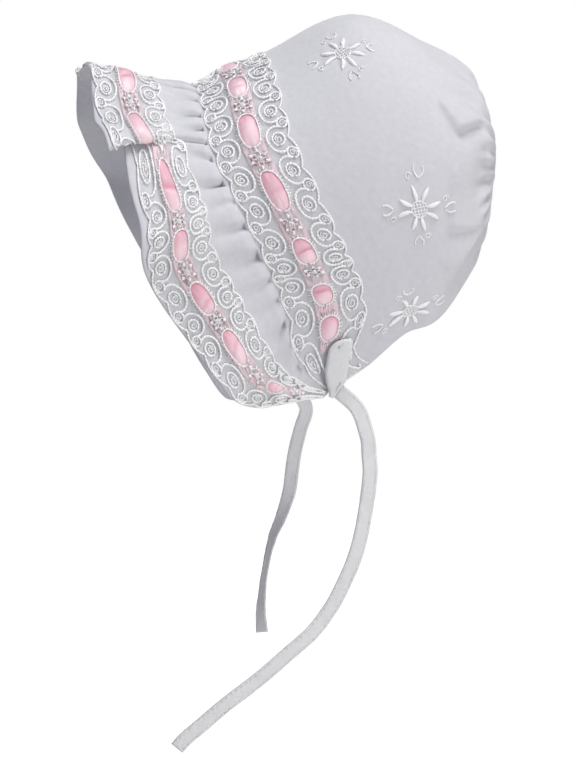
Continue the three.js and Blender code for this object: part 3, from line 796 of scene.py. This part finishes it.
# Brim cloth
BRIM_COLUMNS = 420
BRIM_ROWS = 46
brim_around = np.linspace(-1, 1, BRIM_COLUMNS)
brim_out = np.linspace(0, 1, BRIM_ROWS) ** 1.15
brim_outer = fluted_brim(brim_around[:, None], brim_out[None, :], 1.0)
brim_cloth = cloth_wall("brim_cloth", brim_outer, grid_normals(brim_outer, -1), "brim")

# Raised seam between the brim and the crown
seam_points = crown_point(around_values, 0) + np.array([0, -GAP, 0])
seam_normals = crown_normal(around_values, 0)
piping = strand(seam_points - seam_normals * 0.3, seam_normals, 1.8, 1.4, sides=8)
seam_piping = thread_work("front_seam", [piping], COTTON, "white_cloth")


# Back panel
def back_panel_grid(levels, across):
    """Grid across the back opening, from its top down to the corners, that bulges backwards"""
    down = np.linspace(0, 1, levels)[:, None]
    around = mix(PANEL_TOP_AROUND, 1, down)
    share = np.linspace(0, 1, across)[None, :]

    def edge_at(place):
        inward = unit(crown_point(place, 1) - crown_point(place, 0.985))
        return crown_point(place, 1) + inward * GAP

    point = mix(edge_at(-around), edge_at(around), share[..., None])
    roundness = 1 - (2 * share - 1) ** 2
    point[..., 1] += PANEL_BULGE * roundness * np.sin(math.pi * mix(0.12, 0.88, down))
    return point


panel_outer = back_panel_grid(48, 60)
panel_cloth = cloth_wall("back_panel_cloth", panel_outer, grid_normals(panel_outer, -1), "back_panel")


# Lace bands
def band_around(repeats, at):
    """Share around the bonnet where a repeat of the lace lies"""
    return np.sign(at) * smooth(repeats, "around", np.abs(at))


def on_crown(repeats, at, distance):
    """Place on the crown for the front lace, narrower towards the corners"""
    around = band_around(repeats, at)
    near_corner = ease(np.abs(around), NARROWING_FROM, 1)
    width = distance * (1 - LACE_CORNER_NARROWING * near_corner)
    along = along_at_distance(around, width)
    return crown_point(around, along)


def on_brim(repeats, at, distance):
    """Place on the brim for the brim lace, with the hem left free beside it"""
    around = band_around(repeats, at)
    reach = brim_reach(around)
    fit = np.minimum(1, reach * LACE_SHARE_OF_BRIM / LACE_WIDTH)
    hem = mix(BRIM_HEM, BRIM_HEM_WIDE, bump(around - BRIM_HEM_WIDE_AT, 0.12))
    hem = mix(hem, BRIM_HEM_LOW, ease(around, 0.56, 0.64))
    hem = hem - BRIM_HEM_OVERHANG * (1 - ease(np.abs(around), 0.22, 0.32))
    from_seam = reach - (hem + LACE_WIDTH - distance) * fit
    return fluted_brim(around, from_seam / reach, 0.3)


SCALLOP_START = 15.3
SCALLOP_RISE = 2.5
WINDOW_HALF_WIDTH = 4.2
WINDOW_POWER = 2.4
WINDOW_TICKS = 30
NET_LIFT_EDGE = 0.3
NET_LIFT_RIBBON = 1.5
EDGE_RINGS = 15.0
INNER_RINGS = 11.4
RING_THREAD = 0.95
SATIN_THICKNESS = 0.4
BAND_COLUMNS = 24
NET_COLUMNS = 26
SATIN_COLUMNS = 44
NET_ROWS = 43
FRONT_WINDOWS = table(
    "at half_length",
    (0.5, 8), (1.5, 8), (2.5, 8), (3.5, 8), (4.5, 7), (5.5, 4.5), (5.95, 3.6),
)
BRIM_WINDOWS = table(
    "at half_length",
    (0, 8), (1, 8), (2, 8), (3, 8), (4, 8), (5, 8), (6, 7.5), (7, 5.5),
)


def both_sides(windows):
    """Windows of the left half of a band and their mirror images"""
    at = np.concatenate([-windows["at"], windows["at"]])
    at, first = np.unique(at, return_index=True)
    return {"at": at, "half_length": np.tile(windows["half_length"], 2)[first]}


def nearest_window(windows, at):
    """Place and half length of the window next to each place on the band"""
    index = np.argmin(np.abs(at[..., None] - windows["at"]), axis=-1)
    return windows["at"][index], windows["half_length"][index]


def window_radius(x, y, half_length):
    """1 on the edge of a ribbon window, less inside it"""
    long_part = (np.abs(x) / half_length) ** WINDOW_POWER
    wide_part = (np.abs(y) / WINDOW_HALF_WIDTH) ** WINDOW_POWER
    return (long_part + wide_part) ** (1 / WINDOW_POWER)


def net_lift(y):
    """Height of the net over the cloth: higher where it lies over the ribbon"""
    return mix(NET_LIFT_RIBBON, NET_LIFT_EDGE, ease(np.abs(y), 4.5, 9.0))


def edge_reach(x):
    """How far the scalloped edge lies from the middle of the lace"""
    return SCALLOP_START + SCALLOP_RISE * np.abs(np.cos(math.pi * x / (REPEAT / 2))) ** 0.7


def loop_points(x, y, radius_x, radius_y, start=0.0, sweep=360.0, count=22):
    """Flat loop or arc round a middle"""
    angles = np.radians(start + np.linspace(0, sweep, count, endpoint=sweep < 360))
    return x + radius_x * np.cos(angles), y + radius_y * np.sin(angles)


def turned(x, y, angle):
    """Flat place turned round the origin"""
    return x * math.cos(angle) - y * math.sin(angle), x * math.sin(angle) + y * math.cos(angle)


def swirl_points(x, y, radius, start, turns=1.4, count=20):
    """Flat spiral that winds in towards its middle"""
    share = np.linspace(0, 1, count)
    angles = np.radians(start) + share * turns * 2 * math.pi
    reach = radius * (1 - 0.75 * share)
    return x + reach * np.cos(angles), y + reach * np.sin(angles)


def lace_strands(surface, half_count, windows):
    """All the embroidered threads of one lace band"""
    made = []

    def lay(at, x, y, width, height, closed=False, sides=6, extra=0.0):
        place = at + np.asarray(x) / REPEAT
        lift = net_lift(y) + np.max(height) * 0.3 + extra
        points, normals = surface.at(place, LACE_WIDTH / 2 + y, lift)
        made.append(strand(points, normals, width, height, closed, sides, beading=BEADING))

    for at, half_length in rows_of(windows):
        x, y = loop_points(0, 0, 1, 1, count=44)
        grow = 1 / window_radius(x, y, half_length)
        lay(at, x * grow * 1.04, y * grow * 1.07, 0.75, 0.8, closed=True)
        for k in range(WINDOW_TICKS):
            angle = math.radians(k * 360 / WINDOW_TICKS + 6 * (scattered(k + 7 * at) - 0.5))
            x, y = turned(1, 0, angle)
            grow = 1.12 / window_radius(x, y, half_length)
            reach = grow + np.array([0, 0.5, 1.0]) * (0.7 + 0.9 * scattered(k * 3 + at))
            lay(at, x * reach, y * reach, 0.5, 0.45, sides=4)
    for at in np.arange(-half_count, half_count + 0.01, 0.5):
        is_window = np.min(np.abs(windows["at"] - at)) < 0.2
        if not is_window and np.abs(at) < half_count - 0.3:
            flower(lay, at)
        if np.abs(at) > half_count - 0.1:
            continue
        for side in (-1, 1):
            lay(at, *loop_points(0, side * EDGE_RINGS, 2.3, 2.3, count=18), RING_THREAD, 0.85, closed=True)
            lay(at, *swirl_points(0, side * EDGE_RINGS, 1.5, 40 * side), 0.55, 0.6, sides=5)
    for at in np.arange(-half_count + 0.25, half_count, 0.5):
        for side in (-1, 1):
            lay(at, *loop_points(0, side * INNER_RINGS, 2.7, 2.7), RING_THREAD, 0.85, closed=True)
            lay(at, *swirl_points(0.2, side * INNER_RINGS, 1.7, 200 * side), 0.6, 0.6, sides=5)
            lay(at, *loop_points(0, side * 11.2, 5.7, 4.9, -side * 212, side * 244, 30), 1.0, 0.9)
    ends = half_count - 0.02
    at = np.arange(-ends, ends, 1 / 40)
    for side in (-1, 1):
        y = side * edge_reach((at - half_count) * REPEAT)
        points, normals = surface.at(at, LACE_WIDTH / 2 + y, net_lift(y) + 0.25)
        made.append(strand(points, normals, 0.85, 0.85, beading=BEADING))
    return made


def flower(lay, at):
    """Small flower of loops and knots between two ribbon windows"""
    knot = np.array([-0.9, -0.6, 0, 0.6, 0.9])
    fat = np.array([0.3, 0.9, 1.0, 0.9, 0.3])
    for k in range(6):
        angle = math.radians(60 * k + 20 * (scattered(at * 5 + k) - 0.5))
        loop = loop_points(*turned(2.3, 0, angle), 1.1, 1.1, count=10)
        lay(at, *loop, 0.4, 0.5, closed=True, sides=5, extra=0.1)
        reach = 3.2 + 0.9 * scattered(at * 3 + k) + knot
        lay(at, *turned(reach, 0, angle), 1.2 * fat, 0.8 * fat, extra=0.15)
    lay(at, *loop_points(0, 0, 0.7, 0.7, count=8), 0.8, 0.9, closed=True, sides=5, extra=0.2)


def touching(cells):
    """Grid points that touch at least one of the given cells"""
    padded = np.pad(cells, 1)
    return padded[1:, 1:] | padded[:-1, 1:] | padded[1:, :-1] | padded[:-1, :-1]


def lace_net(name, surface, half_count, windows):
    """Sheer net with open ribbon windows and scalloped edge"""
    columns = round(half_count * 2 * NET_COLUMNS) + 1
    at = np.linspace(-half_count, half_count, columns)[:, None]
    at, y = arrays(at, np.linspace(-1, 1, NET_ROWS) * edge_reach((at - half_count) * REPEAT))
    nearest, half_length = nearest_window(windows, at)
    from_window = (at - nearest) * REPEAT
    radius = window_radius(from_window, y, half_length)
    centre_x = (from_window[:-1, :-1] + from_window[1:, 1:]) / 2
    centre_y = (y[:-1, :-1] + y[1:, 1:]) / 2
    is_open = window_radius(centre_x, centre_y, half_length[:-1, :-1]) < 1.0
    snap = touching(is_open) & touching(~is_open) & (radius > 0.2)
    grow = np.where(snap, 1.0 / np.maximum(radius, 0.2), 1.0)
    at = np.where(snap, nearest + from_window * grow / REPEAT, at)
    y = np.where(snap, y * grow, y)
    points = surface.at(at, LACE_WIDTH / 2 + y, net_lift(y))[0]
    index = np.arange(y.size).reshape(y.shape)
    quads = np.stack([index[:-1, :-1], index[1:, :-1], index[1:, 1:], index[:-1, 1:]], axis=-1)
    used, quads = np.unique(quads[~is_open], return_inverse=True)
    places = np.stack([at * REPEAT, y, np.zeros(y.shape)], axis=-1).reshape(-1, 3)[used]
    return make_object(name, points.reshape(-1, 3)[used], quads.reshape(-1, 4).tolist(), places)


def ribbon(name, surface, half_count, windows):
    """Satin ribbon that runs under the net and puffs up through its windows"""
    ends = half_count - 0.3
    at = np.arange(-ends, ends + 0.001, 1 / SATIN_COLUMNS)[:, None]
    at, y = arrays(at, np.linspace(-1, 1, 19) * (WINDOW_HALF_WIDTH + 0.5))
    nearest, half_length = nearest_window(windows, at)
    x = (at - nearest) * REPEAT
    radius = window_radius(x, y, half_length)
    puff = limited(1 - radius**2) ** 0.7
    pinched_at = 5 * scattered(nearest + 20) - 2.5
    slant = 0.5 * (scattered(nearest + 40) - 0.5)
    pinch = 1.7 * np.maximum(scattered(nearest + 60) - 0.3, 0) * puff
    pinch = pinch * bump(x - pinched_at - slant * y, 1.1)
    pleats = 0.22 * np.sin(y * 2.1 + 3 * nearest) * ease(np.abs(x), 2, 7) * puff
    # Painted shade and highlight for the satin's colour: each window deeper at one end and paler at the
    # other, with a random shift per window
    fall = 0.55 + 0.4 * np.where(nearest < 0, -x, x) / half_length
    fall = fall + 0.3 * (scattered(nearest + 80) - 0.5)
    lift = 1.2 + 1.7 * puff - pinch + pleats
    outer, normals = surface.at(at, LACE_WIDTH / 2 + y, lift)
    # Painted highlight where the ribbon puffs up, painted shade in its pinch, and a middle tone under the
    # net between the windows
    painted_highlight_and_shade = mix(fall * (0.6 + 0.4 * puff) - 0.4 * pinch, 0.5, ease(radius, 1.0, 1.25))
    places = np.stack([at * REPEAT, y, np.clip(painted_highlight_and_shade, 0, 1.2)], axis=-1)
    return wall(name, outer, outer - normals * SATIN_THICKNESS, places)


def lace_band(place, label, repeats, half_count, windows, facing):
    """Net, threads and ribbon of one band"""
    at = np.linspace(-half_count, half_count, round(half_count * 2 * BAND_COLUMNS) + 1)
    distance = np.linspace(-2, LACE_WIDTH + 2, 41)
    surface = Surface(at, distance, place(repeats, at[:, None], distance[None, :]), facing)
    net = lace_net(label + "_net", surface, half_count, windows)
    finish_piece(net, LACE_NET, "white_lace", label + "_lace")
    strands = lace_strands(surface, half_count, windows)
    threads = thread_work(label + "_lace_threads", strands, LACE_THREAD, "white_lace", label + "_lace")
    satin = ribbon(label + "_satin", surface, half_count, windows)
    finish_piece(satin, SATIN, "pink_satin", label + "_ribbon")
    return net, threads, satin


front_pieces = lace_band(on_crown, "front", FRONT_REPEATS, 6.5, both_sides(FRONT_WINDOWS), 1)
brim_pieces = lace_band(on_brim, "brim", BRIM_REPEATS, 8, both_sides(BRIM_WINDOWS), -1)


# Star flowers embroidered on the crown
STAR_FLOWERS = table(
    "around along turn squash",
    (0.265, 0.430, 10, 1), (0.650, 0.620, 0, 1), (0.940, 0.545, 5, 0.62),
)
STAR_RING = 3.5
SPRIG_REACH = 12.4


def star_flower(around, along, turn, squash):
    """Eight satin spikes round a latticed centre, with four curled sprigs"""
    made = []
    step = np.array([-0.002, 0.002])
    pull_a = np.diff(crown_surface.at(around + step, along)[0], axis=0)[0] / np.ptp(step)
    pull_b = np.diff(crown_surface.at(around, along + step)[0], axis=0)[0] / np.ptp(step)
    normal = crown_surface.at(around, along)[1]
    east = unit(pull_b)
    north = unit(np.cross(normal, east))
    metric = np.linalg.inv(np.array([[pull_a @ east, pull_b @ east], [pull_a @ north, pull_b @ north]]))

    def lay(x, y, width, height, closed=False, sides=6):
        flat_x, flat_y = turned(x, y, math.radians(turn))
        da, db = metric @ np.stack([flat_x, flat_y * squash])
        rise = np.broadcast_to(height, np.shape(x)) * 0.25
        if np.max(np.abs(around + da)) < 0.985:
            points, normals = crown_surface.at(around + da, along + db, rise)
            made.append(strand(points, normals, width, height, closed, sides))

    share = np.linspace(0, 1, 12)
    fat = np.sin(math.pi * limited(share * 0.9 + 0.05)) ** 0.7
    for k in range(8):
        angle = math.radians(45 * k + 8 + 8 * (scattered(k + 11) - 0.5))
        reach = mix(3.4, 9.6 + 0.8 * scattered(k + 30), share)
        bend = 0.4 * np.sin(math.pi * share) * (1 if k % 2 else -1)
        lay(*turned(reach, bend, angle), 2.1 * fat, 1.3 * fat + 0.1)
    lay(*loop_points(0, 0, STAR_RING, STAR_RING, count=28), 0.7, 0.8, closed=True)
    for offset in (-2.1, -0.7, 0.7, 2.1):
        half = math.sqrt(3.4**2 - offset**2)
        line = np.linspace(-half, half, 8)
        lay(line, np.full(8, offset), 0.55, 0.7, sides=5)
        lay(np.full(8, offset), line, 0.55, 0.8, sides=5)
    curl = np.linspace(0, 1, 14)
    for k in range(4):
        angle = math.radians(78 + 90 * k)
        for hand in (-1, 1):
            aside = hand * (0.2 + 2.0 * np.sin(curl * 2.2))
            lay(*turned(mix(11.6, 15.4, curl), aside, angle), 0.75, 0.8, sides=5)
        tip = swirl_points(*turned(SPRIG_REACH, 0, angle + 0.36), 1.4, 0, 1.1, 12)
        lay(*tip, 0.65, 0.7, sides=5)
    return made


star_strands = []
for side in (1, -1):
    for around, along, turn, squash in rows_of(STAR_FLOWERS):
        star_strands += star_flower(side * around, along, side * turn, squash)
star_flowers = thread_work("star_flowers", star_strands, FLOWER_THREAD, "white_lace")


# Tabs and ties
def past_seam(around, along):
    """Crown cloth carried on straight past the front seam"""
    onward = crown_point(around, 0) - crown_point(around, TAB_EDGE_STEP)
    return crown_point(around, along) + onward * (np.maximum(-along, 0) / TAB_EDGE_STEP)[..., None]


def tab_point(side, share, sideways, height):
    """Place on a tab: share runs from its head to its foot, sideways is a share of its width"""
    share, sideways, height = arrays(share, sideways, height)
    down = share - TAB_FOOT_SLOPE * sideways * share * share
    around = side * mix(TAB_HEAD_AROUND, 1, np.minimum(down / TAB_ON_LACE, 1))
    distance = TAB_FOOT_INSET + TAB_SLANT * (1 - np.minimum(down, 1) ** TAB_CURVE)
    along = along_at_distance(around, distance + sideways * TAB_WIDTH)
    middle = along_at_distance(around, distance)
    hanging_off = unit(past_seam(around, middle) - past_seam(around * 0.97, middle))
    past = (np.maximum(down - TAB_ON_LACE, 0) * TAB_LENGTH)[..., None]
    lifted = (TAB_HEIGHT_ON_CLOTH + height)[..., None] * crown_normal(around, along)
    return past_seam(around, along) + lifted + hanging_off * past


def tab(side, label):
    """Doubled cloth end with rounded corners, sewn down near its head and its foot"""
    share = np.linspace(0, 1, 30)[:, None]
    rounded = np.sqrt(1 - (1 - np.minimum(share / 0.16, 1)) ** 2)
    width = smooth(TAB_OUTLINE, "width", share) * mix(0.55, 1, rounded)
    across = np.linspace(-0.5, 0.5, 15)[None, :]
    crown_of_pad = 0.35 * (1 - (2 * across) ** 4)
    outer = tab_point(side, share, across * width, TAB_THICKNESS - 0.3 + crown_of_pad)
    inner = tab_point(side, share, across * width, np.zeros_like(crown_of_pad * share))
    made = wall("tie_tab_" + label + "_cloth", outer, inner)
    finish_piece(made, TIE_COTTON, "tie_cloth", "tie_tab_" + label)
    sewn = []
    for at, lean in ((0.13, 0.25), (0.13, -0.25), (0.92, 0.25), (0.92, -0.25)):
        line = np.linspace(-1, 1, 7)
        points = tab_point(side, at + line * 0.03, line * lean * 0.5, TAB_THICKNESS + 0.25)
        normals = np.repeat(crown_normal(side * 0.95, 0.1)[None], 7, axis=0)
        sewn.append(strand(points, normals, 0.5, 0.5, sides=5))
    thread_work("tie_tab_" + label + "_stitches", sewn, SEWING_THREAD, "tie_cloth")


def route_curve(places, count):
    """Evenly spaced points on one smooth curve through the places"""
    places = np.asarray(places, float)
    padded = np.concatenate([[2 * places[0] - places[1]], places, [2 * places[-1] - places[-2]]])
    knots = np.concatenate([[0], np.cumsum(np.linalg.norm(np.diff(padded, axis=0), axis=1) ** 0.5)])
    dense = []
    for k in range(1, len(padded) - 2):
        p0, p1, p2, p3 = padded[k - 1 : k + 3]
        t0, t1, t2, t3 = knots[k - 1 : k + 3]
        t = np.linspace(t1, t2, 16, endpoint=k == len(padded) - 3)[:, None]
        a1 = (t1 - t) / (t1 - t0) * p0 + (t - t0) / (t1 - t0) * p1
        a2 = (t2 - t) / (t2 - t1) * p1 + (t - t1) / (t2 - t1) * p2
        a3 = (t3 - t) / (t3 - t2) * p2 + (t - t2) / (t3 - t2) * p3
        b1 = (t2 - t) / (t2 - t0) * a1 + (t - t0) / (t2 - t0) * a2
        b2 = (t3 - t) / (t3 - t1) * a2 + (t - t1) / (t3 - t1) * a3
        dense.append((t2 - t) / (t2 - t1) * b1 + (t - t1) / (t2 - t1) * b2)
    dense = np.concatenate(dense)
    walked = walked_along(dense)
    return along_line(np.linspace(0, walked[-1], count), walked, dense), walked[-1]


def tie(side, label, route, twist):
    """Flat tie from the foot of its tab, with a stitched hem down each side"""
    edge = side * TIE_WIDTH / TAB_WIDTH / 2
    foot = tab_point(side, 1 + GAP / TAB_LENGTH, np.array([0, edge, -edge]), TAB_THICKNESS / 2)
    start = foot[0]
    foot_across = unit(foot[2] - foot[1])
    middle, measured = route_curve([start, *route], TIE_COLUMNS)
    tangent = unit(np.gradient(middle, axis=0))
    share = np.linspace(0, 1, TIE_COLUMNS)
    face = unit(np.array([side, 0, 0]) - tangent * side * tangent[:, :1])
    turn = twist * bump(share - 0.75, 0.3)[:, None]
    face = face * np.cos(turn) + np.cross(tangent, face) * np.sin(turn)
    across = unit(np.cross(tangent, face))
    foot_across = foot_across * np.sign(across[3] @ foot_across)
    across = unit(mix(foot_across, across, ease(share, 0, 0.05)[:, None]))
    face = unit(np.cross(across, tangent))
    face = face * np.sign(face[TIE_COLUMNS // 2, 0] * side)
    y = np.linspace(-1, 1, 17)
    hem = 0.12 * bump(np.abs(y) - 0.88, 0.10) - 0.10 * bump(np.abs(y) - 0.70, 0.05)
    half = TIE_THICKNESS / 2 * (1 - 0.35 * y**8) + hem
    wave = 0.18 * uneven(share, 60, 2.0 + side)[:, None] * y[None, :] ** 2
    centre = middle[:, None] + across[:, None] * (y * (TIE_WIDTH / 2 - 0.3))[None, :, None]
    rise = face[:, None] * (half[None, :, None])
    shift = face[:, None] * wave[..., None]
    made = wall("tie_" + label + "_cloth", centre + rise + shift, centre - rise + shift)
    finish_piece(made, TIE_COTTON, "tie_cloth", "tie_" + label)
    sewn = []
    for edge_side in (-1, 1):
        for back in (-1, 1):
            line = middle + across * edge_side * (TIE_WIDTH / 2 * 0.70)
            line = line + face * back * (TIE_THICKNESS / 2 - 0.02)
            sewn += stitches(line, face * back, pitch=2.6, length=1.9, width=0.34, height=0.3)
    stitched = thread_work("tie_" + label + "_stitches", sewn, SEWING_THREAD, "tie_cloth")
    print("tie", label, "measures", round(float(measured), 1), "mm")


tab(1, "left")
tab(-1, "right")
tie(1, "left", LEFT_TIE_ROUTE, 0)
tie(-1, "right", RIGHT_TIE_ROUTE, TIE_TWIST)


# Pale floor and soft studio light
def stage_material():
    material = bpy.data.materials.new("pale_studio_paper")
    material.use_nodes = True
    tree = material.node_tree
    shader = tree.nodes["Principled BSDF"]
    shader.inputs["Roughness"].default_value = 0.9
    shader.inputs["Emission Color"].default_value = (1, 1, 1, 1)
    seen_paper = node(tree, "ShaderNodeLightPath").outputs["Is Camera Ray"]
    tree.links.new(seen_paper, shader.inputs["Emission Strength"])
    grain = node(tree, "ShaderNodeTexNoise", [("Scale", 40.0), ("Detail", 2.0)])
    two_tones(tree, shader, grain.outputs[0], (0.87, 0.87, 0.88), (0.90, 0.90, 0.91))
    return material


def studio_floor():
    """Wide pale floor well below the ties"""
    turns = 96
    reach = 9.0
    height = -0.7
    circle = loop_points(0, 0, reach, reach, 0, 360 - 360 / turns, turns)
    vertices = np.stack([*circle, np.full(turns, height)], axis=-1) / MM
    made = make_object("studio_floor", vertices, [list(range(turns))])
    made.data.materials.append(stage_material())


studio_floor()


def soft_light(name, location, target, size, power, colour=(1, 1, 1)):
    data = bpy.data.lights.new(name, "AREA")
    data.shape = "DISK"
    data.size = size
    data.energy = power
    data.color = colour
    made = bpy.data.objects.new(name, data)
    made.location = location
    aim = np.array(target) - np.array(location)
    flat = math.hypot(aim[0], aim[1])
    made.rotation_euler = (math.pi / 2 + math.atan2(aim[2], flat), 0, math.atan2(-aim[0], aim[1]))
    bpy.context.scene.collection.objects.link(made)


MIDDLE = (0.0, -0.03, -0.12)
soft_light("soft_top", (0.35, 0.15, 1.0), MIDDLE, 0.7, 11.2)
soft_light("soft_side", (0.95, 0.5, -0.42), MIDDLE, 0.5, 5.0, (1, 1, 0.98))
soft_light("soft_front", (0.6, -1.0, 0.2), MIDDLE, 0.7, 0.8, (0.72, 0.72, 1))
soft_light("soft_far_side", (-0.9, -0.4, 0.1), MIDDLE, 0.7, 3.6)

world = bpy.data.worlds.new("studio_air")
world.use_nodes = True
air = world.node_tree
ambient = air.nodes["Background"]
ambient.inputs["Color"].default_value = (0.98, 0.965, 1, 1)
ambient.inputs["Strength"].default_value = 0.25
seen = node(air, "ShaderNodeBackground", [("Color", (1, 1, 1, 1)), ("Strength", 1.0)])
path = node(air, "ShaderNodeLightPath")
choice = node(air, "ShaderNodeMixShader", [(0, path.outputs["Is Camera Ray"])])
air.links.new(ambient.outputs[0], choice.inputs[1])
air.links.new(seen.outputs[0], choice.inputs[2])
air.links.new(choice.outputs[0], air.nodes["World Output"].inputs["Surface"])
bpy.context.scene.world = world
bpy.context.scene.view_settings.view_transform = "Standard"
bpy.context.scene.view_settings.look = "None"
